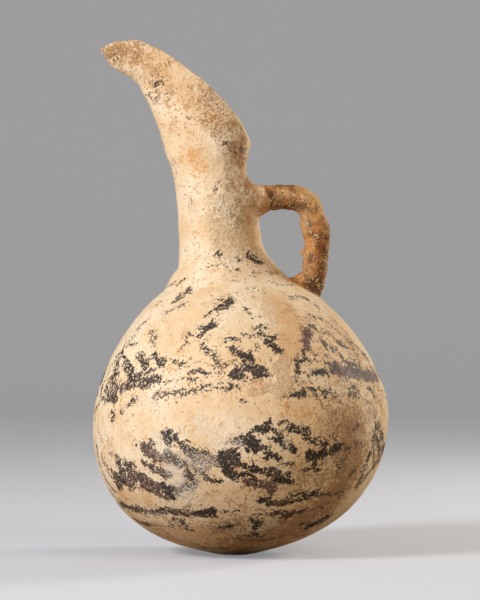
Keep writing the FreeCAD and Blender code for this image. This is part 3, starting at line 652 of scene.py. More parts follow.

# %% [markdown]
# ## Stains, lime, cracks, painted shade and painted highlight
#
# Soft patches, also given: half the width in mm, strength, and points of the picture. "stain" is
# orange-brown clay showing through or soaked in, the brown soil patches are soil and, on the lower
# right and along the bottom, painted shade as well, the pale crust patches are lime from the ground,
# "soot" the thin grey bloom, "gold" and "tan" are warmer slip, "fill" is a rough beige patch,
# "rough" a pitted place, and "crack" a thin dark line.

# %%
PATCHES = {
    "stain": [
        (4.0, 0.60, (163, 125)), (3.0, 0.60, (212, 121)), (3.5, 0.45, (145, 85), (156, 78)),
        (5.0, 0.40, (192, 158), (202, 168)), (7.0, 0.55, (236, 118), (239, 150), (238, 195)),
        (6.0, 0.35, (150, 66), (170, 76)), (6.0, 0.45, (252, 185), (252, 235)),
        (6.0, 0.46, (285, 410), (308, 411)), (4.5, 0.50, (342, 425), (349, 433)),
        (9.0, 0.20, (284, 300), (296, 345)), (6.0, 0.50, (300, 284), (318, 293)),
        (9.0, 0.35, (340, 330), (366, 372)), (10.0, 0.25, (150, 410), (190, 412)),
        (9.0, 0.40, (120, 520), (160, 540)), (12.0, 0.45, (205, 549), (290, 540)),
        (6.0, 0.55, (232, 464), (262, 480)), (8.0, 0.30, (110, 330), (98, 400)),
        (2.5, 0.80, (155, 461), (161, 465)), (2.0, 0.70, (111, 438), (113, 445)),
        (1.6, 0.80, (172, 369), (176, 370)), (2.0, 0.60, (181, 336), (183, 342)),
        (5.0, 0.45, (125, 495), (140, 500)), (6.0, 0.40, (230, 366), (262, 384)),
    ],
    "earth": [
        # Those on the lower right and along the bottom also stand for painted shade.
        (12.0, 0.95, (352, 425), (352, 470), (330, 500), (300, 522)), (12.0, 0.85, (300, 530), (230, 548)),
        (8.0, 0.60, (378, 400), (380, 440)), (9.0, 0.50, (330, 420), (345, 400)),
        (7.0, 0.50, (355, 350), (374, 385)), (6.0, 0.50, (236, 128), (240, 165), (238, 205)),
        (6.0, 0.10, (246, 205), (250, 245)), (6.0, 0.92, (108, 52), (134, 53)),
        (5.0, 0.55, (140, 60), (156, 74)), (6.0, 0.46, (196, 84), (230, 130)),
        (6.0, 0.42, (160, 92), (172, 118)), (9.0, 0.50, (262, 470), (300, 490)),
        (8.0, 0.50, (150, 530), (200, 545)), (6.0, 0.50, (215, 110), (228, 130)),
        (7.0, 0.4, (300, 320), (330, 330)), (9.0, 0.60, (300, 470), (330, 480)),
        (8.0, 0.55, (210, 528), (250, 520)),
    ],
    "lime": [
        (2.5, 0.80, (352, 434), (359, 436)), (5.0, 0.55, (198, 422), (215, 438)),
        (2.0, 0.80, (155, 434), (158, 442)), (4.0, 0.60, (160, 446), (170, 452)),
        (4.5, 0.74, (170, 468), (180, 474), (178, 482)), (5.0, 0.62, (184, 458), (206, 464)),
        (4.0, 0.62, (182, 496), (196, 488), (200, 478)),
        (0.7, 0.60, (328, 414), (331, 409), (336, 409), (339, 414), (336, 419), (331, 419), (328, 414)),
        (3.5, 0.42, (268, 300), (275, 330)), (3.0, 0.40, (225, 400), (240, 425)),
        (5.0, 0.30, (150, 345), (180, 330)), (3.0, 0.40, (225, 240), (228, 250)),
        (2.0, 0.66, (228, 446), (240, 444)), (2.2, 0.60, (284, 444), (286, 456)),
        (1.6, 0.80, (338, 390), (344, 390)), (1.6, 0.62, (150, 514), (156, 515)),
        (2.0, 0.60, (328, 456), (342, 456)), (3.0, 0.50, (140, 400), (150, 402)),
    ],
    "soot": [
        (1.3, 0.80, (155, 102), (163, 95), (172, 89)), (1.1, 0.70, (158, 107), (168, 101), (174, 96)),
        (4.0, 0.42, (228, 275), (250, 290)), (4.0, 0.66, (370, 412), (378, 430)),
        (7.0, 0.35, (345, 345), (370, 380)), (5.0, 0.30, (130, 400), (160, 402)),
        (6.0, 0.30, (190, 500), (230, 500)), (5.0, 0.35, (232, 150), (243, 156)),
        (5.0, 0.40, (120, 505), (150, 512)), (3.0, 0.45, (176, 522), (186, 528)),
    ],
    "gold": [
        (3.0, 0.60, (161, 61)), (3.0, 0.40, (126, 52), (142, 60)), (3.5, 0.80, (211, 120)),
        (6.0, 0.66, (192, 158), (200, 170)), (2.5, 0.60, (161, 124)), (4.0, 0.60, (142, 82), (150, 88)),
        (3.5, 0.45, (187, 209)), (4.0, 0.45, (195, 232), (198, 242)), (5.0, 0.40, (175, 100), (190, 130)),
        (6.0, 0.36, (182, 150), (190, 190)), (1.6, 0.90, (172, 369), (176, 370)),
        (2.0, 0.80, (180, 336), (182, 342)), (1.6, 0.80, (154, 461), (161, 465)),
        (1.6, 0.75, (133, 425), (137, 428)), (1.8, 0.75, (111, 436), (113, 444)),
        (1.2, 0.80, (188, 420), (189, 424)), (1.6, 0.70, (233, 308), (238, 307)),
        (5.0, 0.50, (225, 368), (255, 362)), (3.0, 0.60, (262, 384), (252, 388)),
        (4.0, 0.60, (232, 466), (250, 462)), (3.0, 0.66, (305, 354), (322, 352)),
        (5.0, 0.50, (285, 411), (312, 411)), (3.0, 0.60, (262, 492), (252, 494)),
        (2.0, 0.60, (360, 478), (356, 470)), (2.0, 0.55, (183, 352), (186, 368)),
        (1.5, 0.6, (195, 504), (203, 507)),
    ],
    "tan": [
        (10.0, 0.84, (276, 300), (290, 322), (292, 350)), (7.0, 0.60, (318, 356), (330, 368)),
        (7.0, 0.70, (120, 494), (150, 500)), (9.0, 0.60, (160, 530), (220, 535)),
        (8.0, 0.50, (215, 490), (240, 495)), (10.0, 0.50, (300, 412), (330, 425)),
        (7.0, 0.50, (236, 118), (240, 180)), (6.0, 0.90, (118, 50), (150, 60)),
        (12.0, 0.40, (240, 400), (330, 400)), (10.0, 0.75, (160, 72), (215, 118)),
        (9.0, 0.55, (180, 120), (205, 165)), (8.0, 0.34, (206, 185), (209, 215)),
        (9.0, 0.50, (246, 195), (250, 240)), (9.0, 0.45, (345, 340), (372, 380)),
    ],
    "fill": [
        (3.6, 1.00, (284, 361), (277, 371), (285, 380), (278, 391)),
        (2.4, 0.90, (252, 392), (270, 387), (277, 395)),
    ],
    "rough": [
        (9.0, 0.70, (226, 214), (228, 250)), (8.0, 0.70, (215, 110), (240, 150), (240, 180)),
        (9.0, 0.50, (330, 420), (350, 470)), (12.0, 0.70, (230, 530), (300, 525)),
    ],
    "crack": [
        (0.22, 1.0, (322, 301), (328, 304), (334, 311), (343, 320)),
        (0.25, 1.0, (235, 186), (241, 192), (247, 198)), (0.18, 0.8, (215, 105), (218, 100)),
        (0.12, 0.6, (205, 270), (212, 282), (210, 296)), (0.12, 0.6, (150, 395), (158, 412), (155, 430)),
        (0.12, 0.6, (250, 395), (262, 404), (276, 402)),
    ],
}
SOFTNESS = {"gold": 2.5, "tan": 8.0, "stain": 4.0, "earth": 9.0, "lime": 2.5, "soot": 2.0,
            "fill": 2.0, "rough": 6.0, "crack": 0.35}

# The same for the handle and the clay round its ends, but in the plane of symmetry. Here the brown
# soil patches along the handle's underside are painted shade, and the tan and pale crust patches along
# its top and outer edge are painted highlight.
HANDLE_PATCHES = {
    "earth": [
        # Those that run along the underside of the handle are painted shade.
        (2.3, 1.60, (266, 208), (284, 207), (299, 209)), (1.6, 1.10, (300, 212), (303, 218)),
        (3.5, 0.40, (257, 192), (264, 208)), (2.6, 1.20, (311, 284), (320, 289)),
        (1.4, 1.10, (325, 246), (324, 262), (320, 280)), (1.2, 1.00, (312, 234), (324, 238)),
        (1.2, 0.80, (273, 190), (275, 199)), (2.6, 0.65, (292, 277), (306, 281)),
        (2.4, 0.80, (262, 210), (270, 208)), (5.0, 1.00, (251, 185), (262, 208)),
        (1.4, 1.20, (290, 206), (304, 210)), (1.6, 0.80, (314, 252), (314, 272)),
        (1.0, 1.10, (314, 290), (322, 298)), (2.0, 0.60, (306, 216), (306, 228)),
    ],
    "stain": [
        (3.4, 1.00, (320, 246), (319, 262), (316, 284)), (1.8, 0.80, (314, 224), (328, 226)),
        (1.4, 0.90, (276, 186), (292, 186)), (1.6, 0.80, (308, 232), (324, 240)),
        (1.4, 0.60, (272, 187), (284, 189)), (1.2, 0.60, (304, 206), (308, 210)),
        (2.4, 0.95, (264, 182), (268, 196), (270, 208)), (3.0, 0.70, (312, 250), (312, 280)),
        (1.2, 0.80, (244, 184), (262, 184)),
    ],
    "lime": [
        # The long thin ones along the handle's outer edge and over its bend are painted highlight.
        (0.6, 0.90, (311, 241), (313, 247)), (0.6, 1.00, (329, 244), (328, 258), (326, 274), (323, 292)),
        (0.4, 0.80, (302, 197), (302, 203)), (0.4, 0.80, (305.5, 197), (305.5, 203)),
        (0.5, 0.80, (326, 231), (323, 236)), (1.0, 0.85, (296, 187), (308, 190), (318, 198), (324, 210)),
        (0.6, 0.80, (310, 232), (318, 236)), (0.8, 0.60, (314, 250), (318, 284)),
    ],
    "crack": [
        (0.16, 0.9, (310, 243), (316, 240), (322, 241), (328, 238)), (0.12, 0.8, (311, 205), (318, 203)),
        (0.12, 0.8, (318, 246), (321, 252), (326, 255)), (0.20, 1.0, (306, 283), (315, 289), (321, 296)),
        (0.12, 0.8, (260, 186), (261, 193), (265, 200), (267, 207)),
        (0.10, 0.8, (264, 187), (267, 195), (270, 202)), (0.12, 0.7, (250, 190), (257, 198)),
        (0.15, 0.8, (320, 233), (322, 236)),
    ],
    "fill": [
        (3.0, 0.70, (303, 216), (305, 230)),
    ],
    "tan": [
        # Painted highlight along the handle's top, the outside of its bend and the middle of its front.
        (2.0, 1.00, (282, 193), (300, 196), (308, 203)), (1.6, 1.00, (310, 188), (320, 196), (325, 210)),
        (2.0, 0.80, (308, 210), (312, 224)), (1.2, 1.00, (308, 252), (306, 272)),
    ],
    "gold": [
        (2.0, 0.90, (274, 187), (282, 188)), (2.0, 0.80, (315, 223), (320, 228)),
        (1.6, 0.70, (304, 206), (309, 209)), (2.2, 0.60, (312, 262), (314, 275)),
        (2.4, 0.60, (262, 213), (270, 212)),
    ],
}

# %% [markdown]
# ## The side away from the camera
#
# The painter repeated the motifs all round: seven triangles on a line over the girth, winged motifs
# under it, and two lines low down. They are drawn here from straight strokes in a motif's own
# millimetres, across and up from its middle, with each point moved a little by a seeded chance.

# %%
TRIANGLES = 7
FRONT = -90.0
TRIANGLE = [
    (2.2, 0.84, BLACK, (-25, 0), (-13, 18), (-1, 37)), (2.2, 0.88, BLACK, (25, 0), (13, 18), (1, 37)),
    (2.6, 0.84, DARK, (-26, 0), (-8, -1), (8, 0)), (3.0, 0.92, DARK, (6, -1), (24, 0)),
    (1.5, 0.70, BLACK, (-19, 8), (-14, 2)), (1.7, 0.72, BLACK, (-14, 15), (-5, 3)),
    (1.7, 0.70, DARK, (-9, 22), (3, 4)), (1.8, 0.76, BLACK, (-4, 29), (11, 4)),
    (1.6, 0.70, PURPLE, (3, 30), (18, 4)), (2.0, 0.72, BLACK, (-6, 4), (6, 5)),
    (1.3, 0.66, BLACK, (-26, -8), (-4, -8)), (1.6, 0.74, DARK, (0, -8), (24, -8)),
]
WING = [
    (2.2, 0.80, BLACK, (-25, 15), (-13, 8), (-1, 0)), (2.6, 0.84, PURPLE, (-25, -15), (-13, -8), (-1, -1)),
    (1.6, 0.72, BLACK, (-25, 15), (-26, 0), (-25, -14)), (2.2, 0.74, DARK, (-24, 8), (-14, 1), (-8, -4)),
    (2.0, 0.70, DARK, (-24, 1), (-17, -4), (-12, -8)), (3.2, 0.66, DARK, (-9, 3), (-3, -1)),
    (2.4, 0.90, BLACK, (25, 15), (13, 8), (1, 0)), (2.2, 0.88, BLACK, (25, -14), (13, -8), (1, -1)),
    (1.6, 0.78, BLACK, (25, 15), (26, 2), (25, -13)), (2.2, 0.84, BLACK, (24, 8), (14, 1), (8, -3)),
    (2.0, 0.78, BLACK, (25, 1), (18, -4), (13, -8)), (3.0, 0.90, BLACK, (4, 1), (9, 3)),
    (1.8, 0.70, RED, (25, -6), (20, -10)),
]
TRIANGLE_BASE, WING_HEIGHT, UPPER_LINE, LOWER_LINE = 88.0, 52.0, 25.0, 16.5
WING_SHIFT, WING_SIZE = 0.6, 0.95
PAINTED_RADIUS = 0.93 * GIRTH_RADIUS


def round_body(along, z, centre_angle):
    """Points on the body from millimetres along it and heights: angle = centre + along / R."""
    angle = np.radians(centre_angle) + np.asarray(along) / PAINTED_RADIUS
    r = body_radius(z)
    return np.stack([body_centre(z) + r * np.cos(angle), r * np.sin(angle), z], axis=-1)


def back_strokes():
    chance = np.random.default_rng(20)
    strokes = []

    def add_motif(motif, angle, height, shrink):
        for width, density, tone, *points in motif:
            local = np.array(points, float) * shrink + chance.normal(0, 0.7, (len(points), 2))
            local = fill_in(local, 2.0)
            line = round_body(local[:, 0], height + local[:, 1], angle)
            width, density = width * chance.uniform(0.8, 1.2), density * chance.uniform(0.66, 1.0)
            strokes.append((width, density, tone, line))

    gap = 360.0 / TRIANGLES
    for n in range(2, TRIANGLES - 1):
        add_motif(TRIANGLE, FRONT + gap * n, TRIANGLE_BASE, 1.0)
    for n in range(1, TRIANGLES - 2):
        add_motif(WING, FRONT + gap * (n + WING_SHIFT), WING_HEIGHT, WING_SIZE)
    for height, tone in ((UPPER_LINE, BLACK), (LOWER_LINE, RED)):
        for start in np.arange(4.0, 176.0, 19.0):
            turn = np.linspace(start, start + chance.uniform(9, 16), 8)
            z = height + chance.normal(0, 0.5) + 0.3 * np.sin(turn / 7)
            line = round_body(np.radians(turn) * PAINTED_RADIUS, z, 0.0)
            strokes.append((chance.uniform(0.8, 1.5), chance.uniform(0.6, 0.9), tone, line))
    return strokes


front_strokes = [(w, d, tone, on_jug(fill_in(points, STROKE_STEP))) for w, d, tone, *points in PAINT]
all_strokes = front_strokes + back_strokes()
bare_lines = [(w, on_jug(fill_in(points, STROKE_STEP))) for w, *points in BARE]
patches = {name: [(w, strength, on_jug(fill_in(points, PATCH_STEP))) for w, strength, *points in rows]
           for name, rows in PATCHES.items()}
print(len(all_strokes), "strokes,", len(front_strokes), "of them seen from the front")


def stamp(places, line, half_width, softness):
    """1 inside half the width from the line, falling to 0 over the softness on both sides of it."""
    margin = half_width + softness
    near = np.all((places > line.min(axis=0) - margin) & (places < line.max(axis=0) + margin), axis=1)
    value = np.zeros(len(places))
    if near.any():
        value[near] = np.clip(0.5 + (half_width - distance(places[near], line)) / (2 * softness), 0, 1)
    return value


PAINT_EDGE, BARE_EDGE, HALO_WIDTH, HALO_SHARE, WIDE_STROKE = 1.0, 0.4, 2.4, 0.38, 1.45
WOBBLE_SEEDS, CALM_SHARE, CRACK_SHARE = (11, 12, 13), 0.4, 0.35
NECK_CRUST = (138, 150)


def finish_of(places):
    """All that the materials read from the mesh, one value per point, from its place alone."""
    cover, tone = np.zeros(len(places)), np.zeros(len(places))
    wobble = np.stack([1.2 * noise(places, 5.0, seed) + 0.8 * noise(places, 2.2, seed + 3)
                       for seed in WOBBLE_SEEDS], axis=-1)
    moved = places + wobble
    calmer = places + CALM_SHARE * wobble
    for half_width, density, this_tone, line in all_strokes:
        here = moved if half_width > WIDE_STROKE else calmer
        halo = HALO_SHARE * stamp(here, line, half_width + HALO_WIDTH / 2, HALO_WIDTH)
        value = density * np.maximum(stamp(here, line, half_width, PAINT_EDGE), halo)
        tone = np.where(value > cover, this_tone, tone)
        cover = np.maximum(cover, value)
    for half_width, line in bare_lines:
        cover *= 1 - stamp(moved, line, half_width, BARE_EDGE)
    values = {"paint": cover, "tone": tone}
    values.update(patch_values(moved, places, patches))
    values["paint"] = cover * (1 - values["fill"])
    neck = smooth(places[:, 2], *NECK_CRUST)
    values["rough"] = np.clip(0.22 + 0.26 * neck + values["rough"] + 0.6 * values["earth"], 0, 1)
    return values


def patch_values(moved, places, table):
    """The strongest of each kind's patches at each place. The wobble moves cracks less."""
    values = {}
    for name, rows in table.items():
        values[name] = np.zeros(len(places))
        for half_width, strength, line in rows:
            here = places + CRACK_SHARE * (moved - places) if name == "crack" else moved
            value = strength * stamp(here, line, half_width, SOFTNESS[name])
            values[name] = np.maximum(values[name], value)
    return values


# %% [markdown]
# ## Meshes from grids
#
# Every piece is a grid of points: rows, each a closed ring. Either the last row joins the first, as
# in a wall with an outside, an inside and two joint faces, or the two ends close in a middle point.

# %%
SHARP_ANGLE = 40
pieces = {}


def quads(rows, columns, loop):
    """Corner numbers of the grid's faces, turned so that they face outwards."""
    row = np.arange(rows if loop else rows - 1)[:, None]
    column = np.arange(columns)[None, :]
    right, up = (column + 1) % columns, (row + 1) % rows
    corners = [(row, column), (row, right), (up, right), (up, column)]
    numbers = [at * columns + turn for at, turn in corners]
    return np.stack(np.broadcast_arrays(*numbers), axis=-1).reshape(-1, 4)


def make_piece(name, grid, node, loop=True, extra=None):
    """A mesh of a grid of points in mm, which stands for a CAD node and carries the finish's values."""
    rows, columns, _ = grid.shape
    points = grid.reshape(-1, 3)
    faces = quads(rows, columns, loop).tolist()
    if not loop:
        points = np.concatenate([points, [grid[0].mean(axis=0), grid[-1].mean(axis=0)]])
        here = np.arange(columns)
        after = (here + 1) % columns
        last = (rows - 1) * columns
        first_cap = np.stack([np.full(columns, rows * columns), after, here], axis=-1)
        last_cap = np.stack([last + here, last + after, np.full(columns, rows * columns + 1)], axis=-1)
        faces = faces + first_cap.tolist() + last_cap.tolist()
    mesh = bpy.data.meshes.new(name)
    mesh.from_pydata((points * MM).tolist(), [], faces)
    values = finish_of(points)
    values.update(extra(points) if extra else {})
    for key, value in values.items():
        mesh.attributes.new(key, "FLOAT", "POINT").data.foreach_set("value", value.astype(np.float32))
    mesh.shade_smooth()
    mesh.set_sharp_from_angle(angle=np.radians(SHARP_ANGLE))
    mesh.update()
    piece = bpy.data.objects.new(name, mesh)
    bpy.context.scene.collection.objects.link(piece)
    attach(piece, "root")
    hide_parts(node)
    pieces[name] = piece
    print(name, len(mesh.vertices), "points")


# %% [markdown]
# ## The courses of the body
#
# Each course is the outside between two bevelled joints, and the inside between the same joints. A
# joint lies at height = level + slope (radius - r).

# %%
ROW_SPACING, INNER_SPACING = 0.85, 3.0
INNER_DENTS = -0.6
NECK_OVERLAP = 0.4


def joint(height, radius, slope):
    """Positive under the joint."""
    return lambda p: height + slope * (radius - np.hypot(p[..., 0], p[..., 1])) - p[..., 2]


def neck_hole(p):
    """Positive outside a line some way into the neck's wall."""
    middle, reach, half, _ = neck_size(p[..., 2], NECK_OVERLAP)
    return np.hypot((p[..., 0] - middle) / reach, p[..., 1] / half) - 1


def wall_rows(outline, low, high, spacing, dent_share):
    points, normals = outline.at(lines(low, high, spacing))
    return points + normals * (dents(points) * dent_share)[..., None]


def course(name, node, low_level, high_level):
    """A closed ring of wall: up its outside, over the upper joint and down its inside."""
    out = wall_rows(outside, outside.meet(low_level), outside.meet(high_level), ROW_SPACING, 1.0)
    low, high = inside.meet(low_level), inside.meet(high_level)
    back = wall_rows(inside, low, high, INNER_SPACING, INNER_DENTS)
    make_piece(name, np.concatenate([out, back[::-1]]), node)


pad_joint = joint(0.0, 26.0, 1.6)
bowl_joint = joint(30.0, GIRTH_RADIUS - WALL, 0.6)
belly_joint = joint(79.0, GIRTH_RADIUS - WALL / 2, 0.6)

flat_radius = outside.r[0]
flat = np.linspace(1.5, flat_radius, 9)[:-1, None]
ground = np.stack([flat * np.cos(TURNS), flat * np.sin(TURNS), 0 * flat * TURNS], axis=-1)
zero = np.zeros(COLUMNS)
pad_side = wall_rows(outside, zero, outside.meet(pad_joint), ROW_SPACING, 1.0)
pad_top = wall_rows(inside, zero, inside.meet(pad_joint), INNER_SPACING, INNER_DENTS)[::-1]
middle_of_floor = pad_top[-1].mean(axis=0)
shares = np.array([0.7, 0.4, 0.1])[:, None, None]
floor_rings = middle_of_floor + (pad_top[-1] - middle_of_floor) * shares
pad = np.concatenate([ground, pad_side, pad_top, floor_rings])
make_piece("base_pad_clay", pad, "base_pad", loop=False)
course("lower_bowl_clay", "lower_bowl", pad_joint, bowl_joint)
course("belly_clay", "belly_course", bowl_joint, belly_joint)
course("shoulder_clay", "shoulder_course", belly_joint, neck_hole)

# %% [markdown]
# ## The neck, its collar and the spout
#
# The neck and the spout follow the horn, outside and inside, and share the joint between them. The
# rim's lip is half an ellipse across the wall. The collar's circles close in on the neck.

# %%
LIP_RISE, LIP_SHARE = 1.7, 0.85
NECK_INNER_SPACING, SPOUT_INNER_SPACING = 1.8, 1.4
NECK_FOOT = GIRTH_HEIGHT + SECTIONS[0, 0] * SPOUT_RISE
SPOUT_TOP = GIRTH_HEIGHT + SECTIONS[-1, 0] * SPOUT_RISE
NECK_FOOT_SEARCH, JOINT_SEARCH, RIM_SEARCH = 145.0, (180.0, 205.0), 200.0
JOINT_HEIGHT, SPOUT_SLOPE = GIRTH_HEIGHT + 126.0, 0.35


def in_cavity(p):
    """Positive inside the body's hollow."""
    r = body_radius(p[..., 2], GIRTH_RADIUS - WALL, cavity_depth, SHOULDER_RISE - SHOULDER_WALL)
    return r - np.hypot(p[..., 0] - body_centre(p[..., 2]), p[..., 1])


def under_spout(p):
    across = np.hypot(p[..., 0] - NECK_MIDDLE, p[..., 1])
    return JOINT_HEIGHT + SPOUT_SLOPE * (NECK_RADIUS - across) - p[..., 2]


def under_rim(p):
    return rim_height(p[..., 0]) - p[..., 2]


def horn_rows(low, high, spacing, inset, dent_share):
    points, normals = horn(lines(low, high, spacing), inset)
    return points + normals * (dents(points) * dent_share)[..., None]


joint_out, joint_in = (horn_meet(*JOINT_SEARCH, under_spout, inset) for inset in (0.0, 1.0))
foot_out, foot_in = (horn_meet(NECK_FOOT, NECK_FOOT_SEARCH, in_cavity, inset) for inset in (0.0, 1.0))
neck_outside = horn_rows(foot_out, joint_out, ROW_SPACING, 0.0, 1.0)
neck_inside = horn_rows(foot_in, joint_in, NECK_INNER_SPACING, 1.0, INNER_DENTS)
make_piece("neck_clay", np.concatenate([neck_outside, neck_inside[::-1]]), "neck")

rim_out, rim_in = (horn_meet(RIM_SEARCH, SPOUT_TOP, under_rim, inset) - LIP_RISE for inset in (0.0, 1.0))
spout_outside = horn_rows(joint_out, rim_out, ROW_SPACING, 0.0, 1.0)
spout_inside = horn_rows(joint_in, rim_in, SPOUT_INNER_SPACING, 1.0, INNER_DENTS)
lip_turn = np.linspace(0, np.pi, 9)[1:-1, None, None]
lip_middle = (spout_outside[-1] + spout_inside[-1]) / 2
lip_half = (spout_outside[-1] - spout_inside[-1]) / 2
lip_up = spout_outside[-1] - spout_outside[-3]
lip_up = lip_up / np.linalg.norm(lip_up, axis=-1, keepdims=True)
lip = lip_middle + lip_half * np.cos(lip_turn) + lip_up * (LIP_RISE * LIP_SHARE) * np.sin(lip_turn)
make_piece("beak_spout_clay", np.concatenate([spout_outside, lip, spout_inside[::-1]]), "beak_spout")

COLLAR_DEPTH, COLLAR_SPACING, COLLAR_SINK = 9.0, 0.7, 0.05
low, high = COLLAR_FOOT - COLLAR_DEPTH, COLLAR_FOOT + COLLAR_HEIGHT
collar_z = lines(np.full(COLUMNS, low), np.full(COLUMNS, high), COLLAR_SPACING)
collar_centre, collar_radius = collar_size(collar_z)
collar_rise = np.clip((collar_z - COLLAR_FOOT) / COLLAR_HEIGHT, 0, 1)
collar_radius = collar_radius - COLLAR_EDGE * (1 - (1 - collar_rise) ** 2) - COLLAR_SINK
cos, sin = np.cos(TURNS), np.sin(TURNS)
collar_out = np.stack([collar_centre + collar_radius * cos, collar_radius * sin, collar_z], axis=-1)
uneven = dents(collar_out) + 0.3 * (1 - collar_rise) * noise(collar_out, 9, 5)
collar_out[..., :2] += uneven[..., None] * np.stack([cos, sin], axis=-1)
core_z = collar_z[::6]
core_centre, core_reach, core_half, _ = neck_size(core_z, 0.5)
collar_in = np.stack([core_centre + core_reach * cos, core_half * sin, core_z], axis=-1)
make_piece("neck_collar_clay", np.concatenate([collar_out, collar_in[::-1]]), "neck_collar")

# %% [markdown]
# ## The handle and the clay packed round its ends
#
# The roll runs from plug to plug, and knobs and hollows are pressed into it. Round each end is a
# trumpet of clay that starts under the surface and leans a little to one side. With the share t of
# its length, radius = tip + (foot - tip) (1 - t)^2.7, and its foot feathers out over the surface.

# %%
ROLL_COLUMNS = 128
ROLL_TURNS = np.linspace(0, 2 * np.pi, ROLL_COLUMNS, endpoint=False)
FLARE_POWER = 2.7
FILLET_SINK, FILLET_EDGE, FILLET_SPACING = 2.0, 0.6, 0.4
FILLET_CORE, FILLET_THINNING, BENT_SHARE, BENT_POWER = 0.6, 1.2, 0.9, 1.5
ROLL_OVERLAP, ROLL_STEP, ROLL_SPACING, PLUG_PROUD, ROLL_SINK = 2.5, 0.1, 0.5, 0.6, 0.1
FEATHER, FEATHER_HEIGHT = 2.2, 0.9
KNOBS = [
    # picture point, size and height in mm
    ((302, 252), 1.3, 2.6), ((300, 222), 4.5, 1.3), ((306, 244), 4.5, -1.3), ((325, 210), 5.5, -1.3),
    ((330, 232), 3.0, 0.25), ((330, 250), 6.0, -0.6), ((290, 209), 3.0, 0.4), ((274, 210), 2.5, 0.6),
    ((318, 240), 2.0, -0.5), ((312, 246), 1.5, 0.5), ((310, 200), 4.0, 0.3),
]


def in_plane(points):
    """Picture points as X and Z in the plane of symmetry."""
    seen = np.asarray(points, float)
    return np.stack([EYE[0] + (seen[:, 0] - PICTURE[0] / 2) / POINTS_PER_MM,
                     EYE[2] + (PICTURE[1] / 2 - seen[:, 1]) / POINTS_PER_MM], axis=-1)


handle_patches = {name: [(w, strength, in_plane(fill_in(points, STROKE_STEP)))
                         for w, strength, *points in rows] for name, rows in HANDLE_PATCHES.items()}


def handle_finish(points):
    """The handle's own patches, over those of the jug's front."""
    places = points[:, [0, 2]]
    moved = places + 0.8 * np.stack([noise(points, 3.0, seed) for seed in WOBBLE_SEEDS[:2]], axis=-1)
    return patch_values(moved, places, handle_patches)


def clay_smears(points, amount):
    return amount * (0.6 * noise(points, 9, 6) + 0.4 * noise(points, 4, 7) + 0.2 * noise(points, 1.8, 8))


def knobs(points):
    """Sum of height exp(-(distance / size)^2) over the knobs."""
    total = np.zeros(points.shape[:-1])
    for picture_point, size, height in KNOBS:
        x, z = in_plane([picture_point])[0]
        away = (points[..., 0] - x) ** 2 + 0.4 * points[..., 1] ** 2 + (points[..., 2] - z) ** 2
        total += height * np.exp(-away / size ** 2)
    return total


low, high = ROOT_INSIDE - ROLL_OVERLAP, foot_way + ROLL_OVERLAP
way = np.concatenate([[ROOT_INSIDE - NECK_WALL, low - ROLL_STEP], np.arange(low, high, ROLL_SPACING),
                      [high + ROLL_STEP, foot_way + SHOULDER_WALL + PLUG_PROUD]])[:, None]
share = way / ROUTE[0][-1]
roll = ROLL_RADIUS + ROLL_SWELL * np.exp(-((share - SWELL_SHARE) / SPREAD_SHARE) ** 2)
plug = (way < low - ROLL_STEP / 2) | (way > high + ROLL_STEP / 2)
roll = np.where(plug, TENON_RADIUS, roll) + 0 * ROLL_TURNS
smeared = tube(way, roll, ROLL_TURNS)
relief = clay_smears(smeared, 0.75) + 0.25 * noise(smeared, 14, 9) + knobs(smeared) - ROLL_SINK
roll = roll + np.where(plug, 0, relief)
make_piece("handle_clay", tube(way, roll, ROLL_TURNS), "handle", loop=False, extra=handle_finish)


def fillet(name, node, at, heading, lean, foot_radius, reach, surface_radius):
    """A closed trumpet of clay in the plane of symmetry, from a point on a surface. The surface is
    round, so the trumpet's foot is bent to it: back by R - sqrt(R^2 - y^2)."""
    out = np.array([np.cos(heading), np.sin(heading)])
    base = np.array(at) - out * FILLET_SINK + lean * np.array([out[1], -out[0]])
    axis = np.array(at) + out * reach - base
    length = np.hypot(*axis)
    axis = axis / length
    t = lines(np.full(ROLL_COLUMNS, -FILLET_SINK / length), np.ones(ROLL_COLUMNS), FILLET_SPACING / length)
    tip = ROLL_RADIUS + FILLET_EDGE
    radius = tip + (foot_radius - tip) * (1 - np.clip(t, 0, 1)) ** FLARE_POWER
    height = t * length - FILLET_SINK
    radius = radius + FEATHER * np.exp(-np.clip(height, -0.6, None) / FEATHER_HEIGHT)
    core = np.full_like(t[::8], ROLL_RADIUS * FILLET_CORE)

    def place(t, radius):
        across, y = radius * np.sin(ROLL_TURNS), radius * np.cos(ROLL_TURNS)
        widest = BENT_SHARE * surface_radius
        bent = surface_radius - np.sqrt(surface_radius ** 2 - np.clip(y, -widest, widest) ** 2)
        bent = bent * (1 - np.clip(t, 0, 1)) ** BENT_POWER
        return np.stack([base[0] + t * length * axis[0] - across * axis[1] - bent * out[0], y,
                         base[1] + t * length * axis[1] + across * axis[0] - bent * out[1]], axis=-1)

    radius = radius + clay_smears(place(t, radius), 0.6) * smooth(t, -0.1, 0.3)
    radius = radius - FILLET_THINNING * smooth(t, 0.60, 1.0)
    grid = np.concatenate([place(t, radius), place(t[::8], core)[::-1]])
    make_piece(name, grid, node, extra=handle_finish)


root_z = GIRTH_HEIGHT + ROOT_HEIGHT
fillet("handle_root_clay", "handle_root_fillet", (neck_back(root_z), root_z), heading=0.0,
       lean=2.2, foot_radius=11.0, reach=9.5, surface_radius=19.7)
fillet("handle_foot_clay", "handle_foot_fillet", (FOOT_X, FOOT_Z), heading=FOOT_HEADING + np.pi,
       lean=-3.2, foot_radius=10.5, reach=8.5, surface_radius=52.0)

# %% [markdown]
# ## Materials
#
# A shader value is wrapped so that it can be written as arithmetic. All patterns use the object's own
# coordinates, so they run on from one piece to the next, and the attributes say where things are.

